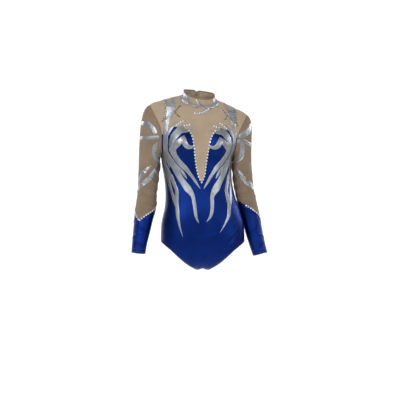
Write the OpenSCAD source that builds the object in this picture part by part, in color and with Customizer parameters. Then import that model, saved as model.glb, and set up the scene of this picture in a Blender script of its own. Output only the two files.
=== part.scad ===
// Long-sleeved gymnastics leotard: foil spandex body, nude mesh yoke and sleeves, silver flames and stones.
// Lengths are millimetres, up is +Z and the wearer faces -Y. The origin is the middle of the neck opening.
// Shapes are first laid out on a straight standing body (x across, z up from the crotch), then posed.

/* [Fabric] */
// Thickness of the blue spandex
spandex_t = 0.8; // [0.5:0.1:1]
// Thickness of the nude mesh
mesh_t = 0.6; // [0.4:0.1:0.8]
// Thickness of the silver appliques
silver_t = 0.4; // [0.3:0.1:0.6]

/* [Openings] */
// Half width of the crotch between the leg openings
crotch_half_w = 18; // [14:1:30]
// Height of the leg opening at the side seam
hip_z = 105; // [80:5:120]
// Fullness of the seat: 1 is a straight leg line, more covers more
seat_fullness = 1.6; // [1:0.1:2]
// Width of the leg elastic
elastic_w = 9; // [6:1:12]
// Height of the V tip of the cuffs
cuff_tip_z = 176; // [160:2:200]
// Rise of the cuff edge away from its V tip, per degree round the arm
cuff_rise = 0.65; // [0.4:0.05:0.8]

/* [Stones] */
// Width of a flat-back stone
stone_d = 6.5; // [4:0.5:8]
// Spacing of the stones in a row
stone_pitch = 11.6; // [9:0.2:16]

/* [Zip] */
// Height of the bottom end of the back zip
zip_low_z = 500; // [480:5:530]
// Width of one zip tape
tape_w = 10; // [8:1:14]
// Width of the slider
slider_w = 8.6; // [7:0.2:10]
// Length of the slider
slider_len = 11; // [9:0.5:14]
// Length of the pull
pull_len = 24; // [18:1:30]

/* [Hidden] */

// Colours
blue = [0.04, 0.14, 0.42];
nude = [0.69, 0.62, 0.53];
sheer = [0.55, 0.47, 0.39];
silver = [0.6, 0.62, 0.62];
crystal = [0.9, 0.94, 0.97];
steel = [0.55, 0.56, 0.58];

// Middle of the neck opening above the crotch, and the shares of the body that each layer fills
neck = [-9, -2, 665];
skin_gap = 0.6;
blue_out = skin_gap + spandex_t;
mesh_out = skin_gap + mesh_t;
silver_in = blue_out + 0.1;
silver_out = silver_in + silver_t;
inner_in = -0.3;
inner_out = 0.5;

// Cross sections: height along the cloth, z, half width, depth of the front, depth of the back
body = [
    [0, 0, 150, 0, 0], [25, 6, 150, 24, 30], [50, 22, 151, 46, 62], [80, 47, 153, 66, 92],
    [110, 76, 155, 80, 108], [140, 106, 155, 89, 115], [180, 146, 154, 94, 113],
    [212, 178, 151.5, 96, 104], [257, 223, 140, 95, 88], [302, 268, 129.5, 90, 73],
    [354, 320, 124.5, 86, 65], [392, 358, 126, 88, 70], [422, 388, 129, 91, 77],
    [460, 426, 134, 95, 87], [500, 466, 157, 97, 98], [550, 516, 176, 93, 91.5],
    [590, 556, 183, 84, 82], [624, 598, 181, 75, 71.5], [670, 618, 140, 67, 65.5],
    [715, 634, 98, 62, 60.5], [754, 646, 63, 60, 57], [786, 665, 56, 56, 52.5]];
// How far the rings of the collar dip to the front and rise to the back, per mm of depth
dip = [[0, 0], [600, 0], [670, 0.25], [754, 0.62], [786, 0.55], [800, 0.55]];
rise = [[0, 0], [600, 0], [670, 0.1], [754, 0.25], [786, 0.25], [800, 0.25]];
// The stance: sideways shift, turn and shoulder tilt by height
shift = [[0, 4], [105, 4], [223, 2], [268, -4], [320, -11], [358, -15], [388, -18], [426, -19],
    [480, -19], [672, -9], [700, -8]];
turn = [[0, 0], [150, 0], [223, 3], [320, 7.5], [388, 10], [426, 10.5], [700, 10.5]];
tilt = [[0, 0], [440, 0], [480, 1.5], [590, 4.2], [640, 5], [700, 5]];
roundness = 2.35;
seam_z = 34; // cloth height minus z above the hips
armpit_v = 460;
shoulder_v = 624;
armhole_inset = 0.64;
collar_v = 754;
top_v = 786;

// Sleeves by height: z, x, y, radius across, radius fore and aft, from the cap to the wrist
right_arm = [
    [66, -232.5, -58, 24.5, 25], [103, -228.5, -51, 26.5, 27], [148, -221.5, -42, 30, 31],
    [193, -215, -32, 34, 35], [238, -207, -24, 37, 38], [298, -202, -20, 34.5, 38],
    [358, -197, -21, 37.5, 42], [400, -194.5, -22, 38.5, 43]];
left_arm = [
    [60, 219, 0, 26.5, 25], [103, 207, 9, 28.5, 28], [148, 196, 18, 31, 31],
    [193, 187, 25, 33, 35], [238, 175.5, 30, 34.5, 38], [298, 162, 34, 35, 38],
    [358, 155, 35, 36, 42], [400, 152.5, 35, 36, 43]];
left = 1;
right = -1;
front = -1;
back = 1;
function arm(side) = side == left ? left_arm : right_arm;
function cuff_turn(side) = side == left ? 8 : -70; // where the V tip sits, towards the front

// Mesh sizes: columns and rows of the cloth
body_cols = 20;
front_rows = 32;
back_rows = 26;
sleeve_cols = 18;
sleeve_rows = 13;
cuff_rows = 5;
collar_cols = 40;
// Shares of the height of the cloth at which each piece of it starts or stops
blue_stop = 0.81;
back_blue_stop = 0.72;
yoke_start = 0.36;
back_yoke_start = 0.55;
swirl_start = 0.33;
flank_start = 0.1;
shoulder_start = 0.7;

// ---- Smooth tables ----
function knot(table, x, i = 1) = i >= len(table) - 1 || x < table[i][0] ? i : knot(table, x, i + 1);
function slope(table, i) =
    let (a = table[max(i - 1, 0)], b = table[min(i + 1, len(table) - 1)]) (b - a) / (b[0] - a[0]);
function smooth(table, x) =
    let (i = knot(table, x), a = table[i - 1], b = table[i], h = b[0] - a[0],
        u = min(1, max(0, (x - a[0]) / h)))
    (2 * u ^ 3 - 3 * u ^ 2 + 1) * a + (u ^ 3 - 2 * u ^ 2 + u) * h * slope(table, i - 1)
    + (3 * u ^ 2 - 2 * u ^ 3) * b + (u ^ 3 - u ^ 2) * h * slope(table, i);
function unit(v) = v / norm(v);
function mix(a, b, t) = a + (b - a) * t;
// A curve through hand-placed points, with n steps between neighbours
function spline(pts, n) = [
    for (i = [0:len(pts) - 2], j = [0:n - 1])
        let (u = j / n, p0 = pts[max(i - 1, 0)], p1 = pts[i], p2 = pts[i + 1],
            p3 = pts[min(i + 2, len(pts) - 1)])
        0.5 * (2 * p1 + (p2 - p0) * u + (2 * p0 - 5 * p1 + 4 * p2 - p3) * u ^ 2
            + (3 * p1 - p0 - 3 * p2 + p3) * u ^ 3),
    pts[len(pts) - 1]];

// ---- The body's surface ----
function hill(x, z, cx, cz, rx, rz) = exp(-((x - cx) / rx) ^ 2 - ((z - cz) / rz) ^ 2);
function bust(x, z) =
    let (rz = z > 462 ? 52 : 40) 24 * (hill(x, z, 74, 462, 46, rz) + hill(x, z, -74, 462, 46, rz));
function seat(x, z) = 12 * (hill(x, z, 70, 85, 55, 60) + hill(x, z, -70, 85, 55, 60));
// Angle round the section at which the armhole cuts it
function side_angle(v) =
    let (c = (2 * v - armpit_v - shoulder_v) / (shoulder_v - armpit_v))
    abs(c) < 1 ? acos((armhole_inset * sqrt(1 - c * c)) ^ (roundness / 2)) : 90;
// A point of the straight body: s runs -1 to 1 across the cloth, v runs up it
function straight(s, v, face) =
    let (st = smooth(body, v), a = s * side_angle(v),
        x = st[2] * sign(a) * abs(sin(a)) ^ (2 / roundness), c = abs(cos(a)) ^ (2 / roundness),
        deep = face == front ? -st[3] * c : st[4] * c,
        swell = face == front ? -bust(x, st[1]) * min(1, c * 1.5) : seat(x, st[1]) * c,
        lift = face == front ? smooth(dip, v)[1] : smooth(rise, v)[1],
        notch = 6 * exp(-(x / 9) ^ 2 - v / 25))
    [x, deep + swell, st[1] + lift * deep + notch];
// The stance of the wearer, and the origin at the neck
function posed(p) =
    let (a = smooth(turn, p.z)[1])
    [p.x * cos(a) - p.y * sin(a) + smooth(shift, p.z)[1], p.x * sin(a) + p.y * cos(a),
        p.z - p.x * tan(smooth(tilt, p.z)[1])] - neck;
torso_front = function(a, v) posed(straight(a, v, front));
torso_back = function(a, v) posed(straight(-a, v, back));
// Right round the body: 0 is the middle of the front and 180 the middle of the back
torso_hoop = function(a, v)
    abs(a) <= 90 ? torso_front(a / 90, v) : torso_back(-sign(a) * (180 - abs(a)) / 90, v);

// ---- The sleeves' surface: a is the angle round the arm, t is -1 at the armhole and 1 at the wrist ----
function armhole(side, a) =
    let (v = (armpit_v + shoulder_v) / 2 + (shoulder_v - armpit_v) / 2 * cos(a))
    sin(a) >= 0 ? torso_front(side, v) : torso_back(-side, v);
function arm_ring(side, a, t) =
    let (table = arm(side), z = mix(table[len(table) - 1][0], table[0][0], t), st = smooth(table, z),
        up = smooth(table, z + 1), low = smooth(table, z - 1),
        d = unit([low[1] - up[1], low[2] - up[2], -2]),
        out = unit([side, 0, 0] - d * (side * d.x)), f = cross(out, d) * -side,
        forward = f.y > 0 ? -f : f)
    [st[1], st[2], z] + out * st[3] * cos(a) + forward * st[4] * sin(a) - neck;
function armhole_normal(side) =
    let (n = unit(cross(armhole(side, 0) - armhole(side, 180), armhole(side, 90) - armhole(side, 270))))
    n * sign(n.x * side);
hole_out = [armhole_normal(right), armhole_normal(left)];
function sleeve_cap(side, a, u) =
    let (from = armhole(side, a), to = arm_ring(side, a, 0),
        m0 = (12 + 52.5 * (1 + cos(a))) * hole_out[side == left ? 1 : 0],
        m1 = unit(arm_ring(side, a, 0.02) - to) * norm(to - from) * 1.35)
    (2 * u ^ 3 - 3 * u ^ 2 + 1) * from + (u ^ 3 - 2 * u ^ 2 + u) * m0
    + (3 * u ^ 2 - 2 * u ^ 3) * to + (u ^ 3 - u ^ 2) * m1;
function sleeve_surface(side) = function(a, t)
    t < 0 ? sleeve_cap(side, side * a, t + 1) : arm_ring(side, side * a, t);
function wrist_z(side) = arm(side)[0][0];
function sleeve_t(side, z) = (400 - z) / (400 - wrist_z(side));
// Edge between the mesh sleeve and the cuff: a V whose tip faces out and forwards
function cuff_edge(side, a) =
    let (off = abs((a - cuff_turn(side) + 540) % 360 - 180))
    sleeve_t(side, cuff_tip_z + cuff_rise * min(off, 130));

// ---- Cloth: a grid of points lifted off the surface, closed into a thin solid ----
function lifted(f, a, b, d) =
    let (da = abs(a) > 2 ? 0.6 : 0.02, db = abs(b) > 2 ? 2 : 0.01,
        n = unit(cross(f(a + da, b) - f(a - da, b), f(a, b + db) - f(a, b - db))))
    f(a, b) + n * d;
// Near the seams s stops at 1, so the slope is taken on the inside only
function lifted_torso(f, a, v, d) =
    let (e = 0.03, n = unit(cross(f(min(a + e, 1), v) - f(max(a - e, -1), v), f(a, v + 2) - f(a, v - 2))))
    f(a, v) + n * d;
function grid(rows, lift) = [for (row = rows) [for (q = row) lift(q)]];
function flat(rows) = [for (row = rows) each row];
module cloth(low, high, wrap = false) {
    m = len(low[0]);
    n = len(low);
    size = m * n;
    last = wrap ? m - 1 : m - 2;
    sheets = [for (i = [0:n - 2], j = [0:last])
        let (a = i * m + j, b = i * m + (j + 1) % m, c = a + m, d = b + m)
        each [[a, b, d], [a, d, c], [a + size, d + size, b + size], [a + size, c + size, d + size]]];
    hems = [for (j = [0:last])
        let (a = j, b = (j + 1) % m, c = (n - 1) * m + a, d = (n - 1) * m + b)
        each [[a + size, b + size, b], [a + size, b, a], [d + size, c + size, c], [d + size, c, d]]];
    sides = wrap ? [] : [for (i = [0:n - 2])
        let (a = i * m, c = a + m, b = a + m - 1, d = b + m)
        each [[c + size, a + size, a], [c + size, a, c], [b + size, d + size, d], [b + size, d, b]]];
    polyhedron(concat(flat(low), flat(high)), concat(sheets, hems, sides));
}
module torso_cloth(f, rows, inside, outside)
    cloth(grid(rows, function(q) lifted_torso(f, q[0], q[1], inside)),
        grid(rows, function(q) lifted_torso(f, q[0], q[1], outside)));
module arm_cloth(side, rows, inside, outside)
    cloth(grid(rows, function(q) lifted(sleeve_surface(side), q[0], q[1], inside)),
        grid(rows, function(q) lifted(sleeve_surface(side), q[0], q[1], outside)), wrap = true);

// ---- Leg line ----
function leg_z(x, face) =
    let (u = max(0, abs(x) - crotch_half_w) / (154 - crotch_half_w))
    hip_z * (face == front ? u : u ^ seat_fullness);
// Height along the cloth where a column meets the leg line, by halving
function leg_v(s, face, low = 0, high = 150, step = 14) =
    let (mid = (low + high) / 2, p = straight(s, mid, face),
        above = smooth(body, mid)[1] > leg_z(p.x, face))
    step == 0 ? mid : above ? leg_v(s, face, low, mid, step - 1) : leg_v(s, face, mid, high, step - 1);
crotch_s = asin((crotch_half_w / body[0][2]) ^ (roundness / 2)) / 90;
// Columns: both leg edges of the crotch fall on a column
half_cols = body_cols / 2 - 1;
cols = concat([for (i = [half_cols:-1:0]) -mix(crotch_s, 1, i / half_cols)], [0],
    [for (i = [0:half_cols]) mix(crotch_s, 1, i / half_cols)]);
function low_v(s, face) = abs(s) <= crotch_s + 0.001 ? 0 : leg_v(abs(s), face);
front_low = [for (s = cols) low_v(s, front)];
back_low = [for (s = cols) low_v(s, back)];
front_net = [for (i = [0:front_rows]) [for (j = [0:len(cols) - 1])
    [cols[j], mix(front_low[j], collar_v, i / front_rows)]]];
// The back is laid out from its own left to right, so that both faces turn outwards
back_net = [for (i = [0:back_rows]) [for (j = [0:len(cols) - 1])
    [cols[j], mix(back_low[len(cols) - 1 - j], collar_v, i / back_rows)]]];
// The rows of a net between two shares of its height
function net_rows(net, low, high) =
    let (n = len(net) - 1) [for (i = [floor(low * n):ceil(high * n)]) net[i]];

// ---- Flat patterns, laid out on the front of the straight body ----
function front_y(x, z) =
    let (v = z + seam_z, st = smooth(body, v), k = min(1, abs(x) / st[2]),
        c = (1 - k ^ roundness) ^ (1 / roundness))
    -(st[3] * c + bust(x, z) * min(1, c * 1.5));
function seen(p) =
    let (y = len(p) > 3 ? p[3] : front_y(p[0], p[1]), q = posed([p[0], y, p[1]])) [q.x, q.z];
// Cuts straight through the body along y, where a pattern's outline is drawn as seen from the front
module through(deep = 400)
    rotate([90, 0, 0]) linear_extrude(deep, center = true) children();
// A flame: spine points [x, z, width] or [x, z, width, y], with mirrored flames on the wearer's left
left_lift = 0.22;
left_draw = 0.1;
function mirrored(side, p) =
    let (drop = side == left ? max(0, 200 - p[1]) : 0)
    concat([side * (p[0] - left_draw * drop), p[1] + left_lift * drop, p[2]], len(p) > 3 ? [p[3]] : []);
module flame(side, spine, steps = 2) {
    pts = spline([for (p = spine) mirrored(side, p)], steps);
    n = len(pts) - 1;
    edge = function(k) [for (i = [0:n])
        let (a = pts[max(i - 1, 0)], b = pts[min(i + 1, n)], d = unit([b[0] - a[0], b[1] - a[1]]),
            p = pts[i], w = max(0.4, p[2]) / 2 * k)
        seen(concat([p[0] - d[1] * w, p[1] + d[0] * w, 0], len(p) > 3 ? [p[3]] : []))];
    polygon(concat(edge(1), [for (i = [n:-1:0]) edge(-1)[i]]));
}
// Half of the V neckline, from its tip up, and the top edge of the blue from there to the armhole
neck_v = [[0, 322], [10, 342], [16, 370], [21, 402], [25.5, 436], [31, 468], [38, 492], [50, 513]];
blue_top = [[50, 513], [64, 508], [78, 512], [92, 521], [106, 516], [122, 503], [138, 495], [150, 491]];
module blue_outline() {
    half = concat(spline(neck_v, 2), [for (i = [1:len(blue_top) - 1]) blue_top[i]]);
    edge = [for (side = [left, right]) [for (p = half) seen([side * p[0], p[1]])]];
    far = 500;
    polygon(concat([[far, -far * 2], [far, edge[0][len(half) - 1].y]],
        [for (i = [len(half) - 1:-1:0]) edge[0][i]], [for (i = [1:len(half) - 1]) edge[1][i]],
        [[-far, edge[1][len(half) - 1].y], [-far, -far * 2]]));
}
// Back edge of the blue: a soft dip from the armholes to the middle
back_top = [[0, 452], [40, 460], [80, 478], [120, 490], [150, 491]];
function back_xz(x, z) = let (st = smooth(body, z + seam_z), k = min(1, abs(x) / st[2]),
    q = posed([x, st[4] * (1 - k ^ roundness) ^ (1 / roundness), z])) [q.x, q.z];
module back_outline() {
    half = spline(back_top, 2);
    far = 500;
    polygon(concat([[far, -far * 2], [far, back_xz(150, 491).y]],
        [for (i = [len(half) - 1:-1:0]) back_xz(half[i][0], half[i][1])],
        [for (i = [1:len(half) - 1]) back_xz(-half[i][0], half[i][1])],
        [[-far, back_xz(-150, 491).y], [-far, -far * 2]]));
}

// ---- Zip frame: origin at the low end on the skin, x across, y out of the back, z up the zip ----
zip_foot = torso_back(0, zip_low_z + seam_z);
zip_head = torso_back(0, top_v);
zip_len = norm(zip_head - zip_foot);
zip_up = unit(zip_head - zip_foot);
zip_out = unit(cross(zip_up, [cos(10.5), sin(10.5), 0]));
zip_across = cross(zip_out, zip_up);
module on_zip(along = 0)
    multmatrix([
        [zip_across.x, zip_out.x, zip_up.x, zip_foot.x + zip_up.x * along],
        [zip_across.y, zip_out.y, zip_up.y, zip_foot.y + zip_up.y * along],
        [zip_across.z, zip_out.z, zip_up.z, zip_foot.z + zip_up.z * along],
        [0, 0, 0, 1]]) children();
module block(low, high)
    translate(low) cube(high - low);
zip_gap = 6; // half the gap in the mesh where the coils show
tape_in = -0.1;
tape_out = 0.5;
tape_edge = 1.6;
coil_in = 0.7;
coil_r = 1.15;
coil_y = 1.6;
slider_rest = zip_len - 20; // slider's place when the zip is closed
coil_top = slider_rest + slider_len * 0.78 + slider_w / 2 + 0.3;
hook_at = zip_len - 4;
flange_in = 3.3;
pin_y = 5.6;
pin_r = 0.6;
pull_t = 1;

// ---- Cloth panels ----
// Faceted cuts are made on meshes, so they are wrapped in an empty resize
module meshed()
    resize([0, 0, 0]) children();
module front_body_panel()
    color(blue) meshed() intersection() {
        torso_cloth(torso_front, net_rows(front_net, 0, blue_stop), skin_gap, blue_out);
        through() blue_outline();
    }
module back_body_panel()
    color(blue) meshed() intersection() {
        torso_cloth(torso_back, net_rows(back_net, 0, back_blue_stop), skin_gap, blue_out);
        through() back_outline();
    }
module front_yoke_mesh()
    color(nude) meshed() difference() {
        torso_cloth(torso_front, net_rows(front_net, yoke_start, 1), skin_gap, mesh_out);
        through() offset(delta = 0.05) blue_outline();
    }
// One side of the back yoke: it stops short of the zip, and meets its twin below it
module back_yoke(side)
    color(nude) meshed() difference() {
        torso_cloth(torso_back, net_rows(back_net, back_yoke_start, 1), skin_gap, mesh_out);
        through() offset(delta = 0.05) back_outline();
        on_zip() block([-zip_gap, -40, -0.2], [zip_gap, 40, 300]);
        on_zip(-200) block([side == left ? -400 : -0.05, -300, 0], [side == left ? 0.05 : 400, 300, 600]);
    }
module back_yoke_left() back_yoke(left);
module back_yoke_right() back_yoke(right);
collar_net = function(low, high, rows) [for (i = [0:rows]) [for (j = [0:collar_cols])
    [mix(-175.2, 175.2, j / collar_cols), mix(low, high, i / rows)]]];
module hoop_cloth(rows, inside, outside)
    cloth(grid(rows, function(q) lifted(torso_hoop, q[0], q[1], inside)),
        grid(rows, function(q) lifted(torso_hoop, q[0], q[1], outside)));
module collar_band()
    color(nude) hoop_cloth(collar_net(collar_v + 0.3, top_v - 0.5, 3), skin_gap, mesh_out + 0.3);
module collar_binding()
    color(sheer) hoop_cloth(collar_net(top_v - 6, top_v - 0.5, 1), mesh_out + 0.4, mesh_out + 1);

// ---- Sleeves and cuffs: columns start at the cuff's V tip ----
function ring_angle(side, j) = cuff_turn(side) + j * 360 / sleeve_cols;
module sleeve(side)
    color(sheer) arm_cloth(side, [for (i = [0:sleeve_rows]) [for (j = [0:sleeve_cols - 1])
        let (a = ring_angle(side, j)) [a, mix(-0.99, cuff_edge(side, a) - 0.0005, i / sleeve_rows)]]],
        skin_gap, mesh_out);
module cuff(side)
    color(blue) arm_cloth(side, [for (i = [0:cuff_rows]) [for (j = [0:sleeve_cols - 1])
        let (a = ring_angle(side, j)) [a, mix(cuff_edge(side, a) + 0.0005, 1, i / cuff_rows)]]],
        skin_gap, blue_out);
module wrist_hem(side)
    color(blue) arm_cloth(side, [for (t = [0.95, 0.998]) [for (j = [0:sleeve_cols - 1])
        [ring_angle(side, j), t]]], inner_in, inner_out);
module left_sleeve() sleeve(left);
module right_sleeve() sleeve(right);
module left_cuff() cuff(left);
module right_cuff() cuff(right);
module left_wrist_hem() wrist_hem(left);
module right_wrist_hem() wrist_hem(right);

// ---- Inside: lining, gusset, elastics, label ----
module front_lining()
    color(nude) torso_cloth(torso_front, [for (i = [0:12]) [for (j = [0:12])
        let (s = mix(-0.86, 0.86, j / 12)) [s, mix(leg_v(abs(s), front) + 16, 340, i / 12)]]],
        inner_in + 0.2, inner_out);
module crotch_gusset()
    color(nude) torso_cloth(torso_front, [for (v = [0:6:18]) [for (s = [-0.02:0.01:0.02]) [s, v]]],
        inner_in + 0.2, inner_out);
// The elastic follows the leg line, from the crotch in front over the hip to the crotch behind
elastic_steps = 16;
module leg_elastic(side)
    color(blue) {
        for (face = [front, back]) {
            turned = face == back ? -side : side;
            ends = [for (i = [0:elastic_steps]) turned * mix(crotch_s + 0.01, 1, i / elastic_steps)];
            order = turned > 0 ? ends : [for (i = [elastic_steps:-1:0]) ends[i]];
            torso_cloth(face == front ? torso_front : torso_back,
                [for (k = [0, 1]) [for (s = order) [s, leg_v(abs(s), face) + 0.5 + k * elastic_w]]],
                inner_in + 0.2, inner_out);
        }
    }
module left_leg_elastic() leg_elastic(left);
module right_leg_elastic() leg_elastic(right);
module care_label()
    color("white") torso_cloth(torso_back, [for (v = [712:6:730]) [for (s = [-0.34:0.04:-0.14]) [s, v]]],
        -0.9, -0.5);

// ---- Seams that show: covering stitches along the side and round the armhole ----
seam_w = 3;
module side_seam(side)
    color(blue) {
        rows = 16;
        cloth_side = function(d) [for (i = [0:rows]) let (v = mix(142, 456, i / rows))
            [for (k = [-1:1]) lifted(torso_hoop, side * 90 + k * 1.6, v, d)]];
        cloth(cloth_side(silver_in), cloth_side(silver_out));
    }
module left_side_seam() side_seam(left);
module right_side_seam() side_seam(right);
module armhole_seam(side)
    color(sheer) {
        steps = 28;
        r = 0.9;
        ring = [for (j = [0:steps - 1])
            let (a = side * j * 360 / steps, c = armhole(side, a),
                d = unit(armhole(side, a + 3) - armhole(side, a - 3)),
                out = unit(c - (armhole(side, a + 180) + c) / 2), n = cross(d, out))
            [for (k = [0:5]) c + out * 2.6 + (out * cos(60 * k) + n * sin(60 * k)) * r]];
        m = 6;
        wall = [for (j = [0:steps - 1], k = [0:m - 1])
            let (a = j * m + k, b = j * m + (k + 1) % m, c = ((j + 1) % steps) * m + k,
                d = ((j + 1) % steps) * m + (k + 1) % m)
            each [[a, b, d], [a, d, c]]];
        polyhedron(flat(ring), wall);
    }
module left_armhole_seam() armhole_seam(left);
module right_armhole_seam() armhole_seam(right);

// ---- Silver flames, glued on the front ----
bust_flames = [
    // Long arc from the neckline over the bust and down to the waist
    [[21, 512, 0.5], [40, 511, 7], [60, 508, 13], [80, 508.5, 24], [97, 490, 24], [104, 476, 19],
        [107.5, 463, 16], [103, 449, 22], [101, 438, 20], [96, 426, 17], [88, 413, 17], [80, 401, 18],
        [69, 389, 18], [56.5, 376, 17], [45, 361, 13], [32, 343, 10.5], [22, 326, 8.5], [12.5, 311, 5],
        [5, 299, 0.5]],
    // Hook under it, up to its peak and down to the neckline
    [[99, 452, 22], [86, 465, 21], [76, 475, 18], [70, 482, 12], [65, 489, 3]],
    [[67, 487, 5], [66, 477, 15], [64, 466, 19], [55, 454.5, 17], [43, 451, 12.5], [32, 453.5, 8],
        [22, 458, 0.5]],
    // Two fingers that reach up onto the mesh
    [[88, 512, 12], [75, 520, 10], [58, 527.5, 7], [37, 532, 1]],
    [[122, 492, 8], [115, 507, 10], [105, 521, 9], [94, 531, 8], [80, 538, 6], [60, 545, 1]]];
flank_flames = [
    // Trunk beside the bust, between the side and the arc
    [[124, 530, 12], [128, 508, 15], [127.5, 485, 15.5], [126.5, 470, 16], [126, 456, 14],
        [124, 440, 15], [121, 425, 16]],
    // Inner strand to the waist and the belly
    [[124, 446, 14], [121, 432, 14], [113, 416, 16], [104, 400, 17], [94, 380, 20], [86, 361, 20],
        [75, 340, 20], [64, 322, 22], [53, 304, 26], [42, 288, 20], [35, 272, 14], [33, 250, 13],
        [31, 228, 12], [28.5, 210, 11], [24, 194, 8], [14, 175, 0.5]],
    [[108, 411, 10], [93, 395, 12], [79, 378, 11], [66, 360, 10], [58, 347, 7], [53, 338, 0.5]],
    [[121, 420, 5], [116, 402, 6], [112, 388, 4], [109, 377, 0.5]],
    // Outer strand, split by a slot, with one tail over the hip
    [[127, 432, 9], [126, 410, 8], [122.5, 390, 9], [117, 370, 13], [113, 352, 17], [111, 345, 18]],
    [[117, 352, 10], [112, 316, 9], [108, 290, 9], [103, 264, 11], [97, 240, 12]],
    [[106, 350, 11], [97, 318, 12], [91, 296, 12], [93, 268, 12], [95, 245, 12], [94, 222, 13],
        [92, 200, 12], [87, 178, 8.5], [80, 152, 5], [70, 124, 0.5]]];
shoulder_flame = [
    [[124.5, 531, 12, -70], [123, 538, 15, -71], [121, 552, 18, -70], [115, 572, 26, -67],
        [114, 590, 28, -63]],
    [[122, 588, 14, -60], [126, 606, 16, -38], [129, 626, 16, 0]],
    [[104, 588, 14, -66], [103, 606, 13, -50], [99, 640, 12, 0]]];
module flames(side, spines, first, last)
    color(silver) meshed() intersection() {
        torso_cloth(torso_front, net_rows(front_net, first, last), silver_in, silver_out);
        through() for (spine = spines) flame(side, spine);
    }
module left_bust_swirl() flames(left, bust_flames, swirl_start, blue_stop);
module right_bust_swirl() flames(right, bust_flames, swirl_start, blue_stop);
module left_flank_flames() flames(left, flank_flames, flank_start, blue_stop);
module right_flank_flames() flames(right, flank_flames, flank_start, blue_stop);
module left_shoulder_flame() flames(left, shoulder_flame, shoulder_start, 1);
module right_shoulder_flame() flames(right, shoulder_flame, shoulder_start, 1);

// Collar ornaments: a fan on each side, and ribbons that cross below the throat
fan = [[52, 664, 10, -16], [57, 640, 26, -30], [58, 622, 24, -42], [52, 612, 10, -54]];
right_ribbons = [[[52, 645, 6, -30], [43, 626, 9, -44], [34, 608, 11, -58], [20, 598, 10, -70],
    [6, 600, 2, -72]]];
left_ribbons = [
    [[-20, 632, 4, -56], [-8, 614, 8, -59], [4, 603, 10, -68], [16, 596, 12, -73], [32, 603, 14, -66],
        [50, 612, 10, -56]],
    [[24, 600, 12, -70], [14, 585, 10, -77], [2, 577, 9, -79], [-12, 576, 7, -80], [-28, 575, 2, -80]]];
collar_front = [for (v = [700, 718, 736, 754, 765, 776, 785.5]) [for (s = cols) [s, v]]];
low_front = [for (v = [590, 610, 630, 650, 670, 690, 699]) [for (s = cols) [s, v]]];
module collar_fan(side, ribbons)
    color(silver) meshed() intersection() {
        union() {
            torso_cloth(torso_front, collar_front, mesh_out + 0.5, mesh_out + 0.5 + silver_t);
            torso_cloth(torso_front, low_front, mesh_out + 0.5, mesh_out + 0.5 + silver_t);
        }
        through() {
            flame(side, fan);
            for (spine = ribbons) flame(side, spine);
        }
    }
module left_collar_fan() collar_fan(left, left_ribbons);
module right_collar_fan() collar_fan(right, right_ribbons);

// ---- Silver on the sleeves, drawn as seen from the front: x, z and width ----
right_bands = [
    [[-232, 541, 15], [-215, 543, 17], [-197, 538, 18], [-181, 524, 18], [-169, 507, 17]],
    [[-236, 488, 14], [-197, 488, 14], [-160, 490, 12]],
    [[-163, 388, 8], [-177, 359, 17], [-195, 337, 18], [-214, 321, 17], [-236, 300, 14]],
    [[-190, 382, 7], [-206, 368, 15], [-217, 354, 15], [-228, 336, 13]]];
right_leaves = [
    [[-162, 471, 2], [-170, 457, 16], [-175, 441, 14], [-178, 432, 3]],
    [[-179, 433, 3], [-172, 424, 16], [-164, 410, 16], [-159, 395, 3]]];
left_bands = [
    [[192, 556, 8], [183, 538, 13], [173, 518, 20], [160, 506, 22], [145, 499, 17]],
    [[130, 478, 12], [156, 480, 14], [171, 473, 15], [196, 461, 16]],
    [[133, 372, 8], [145, 356, 17], [158, 339, 18], [173, 324, 18], [200, 304, 15]],
    [[183, 392, 4], [189, 374, 13], [194, 350, 14]]];
left_leaves = [[[149, 472, 10], [152, 455, 18], [151, 437, 19], [147, 420, 18], [139, 407, 9],
    [130, 396, 2]]];
module ribbon(spine, steps = 2) {
    pts = spline(spine, steps);
    n = len(pts) - 1;
    edge = function(k) [for (i = [0:n])
        let (a = pts[max(i - 1, 0)], b = pts[min(i + 1, n)], d = unit([b.x - a.x, b.y - a.y]), p = pts[i])
        [p.x - d.y * p.z / 2 * k - neck.x, p.y + d.x * p.z / 2 * k - neck.z]];
    polygon(concat(edge(1), [for (i = [n:-1:0]) edge(-1)[i]]));
}
module sleeve_silver(side, spines, deep)
    color(silver) meshed() intersection() {
        arm_cloth(side, [for (i = [0:sleeve_rows]) [for (j = [0:sleeve_cols - 1])
            let (a = ring_angle(side, j)) [a, mix(-0.99, cuff_edge(side, a), i / sleeve_rows)]]],
            mesh_out + 0.1, mesh_out + 0.1 + silver_t);
        translate([0, deep, 0]) through() for (spine = spines) ribbon(spine);
    }
arm_front = -200; // moves the cut so that it stops near the middle of the arm
module left_sleeve_bands() sleeve_silver(left, left_bands, 0);
module right_sleeve_bands() sleeve_silver(right, right_bands, 0);
module left_sleeve_leaves() sleeve_silver(left, left_leaves, arm_front + 30);
module right_sleeve_leaves() sleeve_silver(right, right_leaves, arm_front - 20);

// ---- Stones ----
stone_h = 2.2;
module stone(at, out) {
    a = unit(abs(out.z) < 0.9 ? cross([0, 0, 1], out) : cross([1, 0, 0], out));
    b = cross(out, a);
    r = stone_d / 2;
    multmatrix([[a.x, b.x, out.x, at.x], [a.y, b.y, out.y, at.y], [a.z, b.z, out.z, at.z], [0, 0, 0, 1]])
        rotate_extrude($fn = 16) polygon([[0, 0], [r, 0], [r, 0.8], [r * 0.55, stone_h], [0, stone_h]]);
}
function travel(pts, i = 0, sum = 0) =
    i >= len(pts) - 1 ? [sum] : concat([sum], travel(pts, i + 1, sum + norm(pts[i + 1] - pts[i])));
function at_length(pts, lens, want, i = 1) =
    i >= len(pts) - 1 || lens[i] >= want
        ? mix(pts[i - 1], pts[i], (want - lens[i - 1]) / (lens[i] - lens[i - 1]))
        : at_length(pts, lens, want, i + 1);
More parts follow.
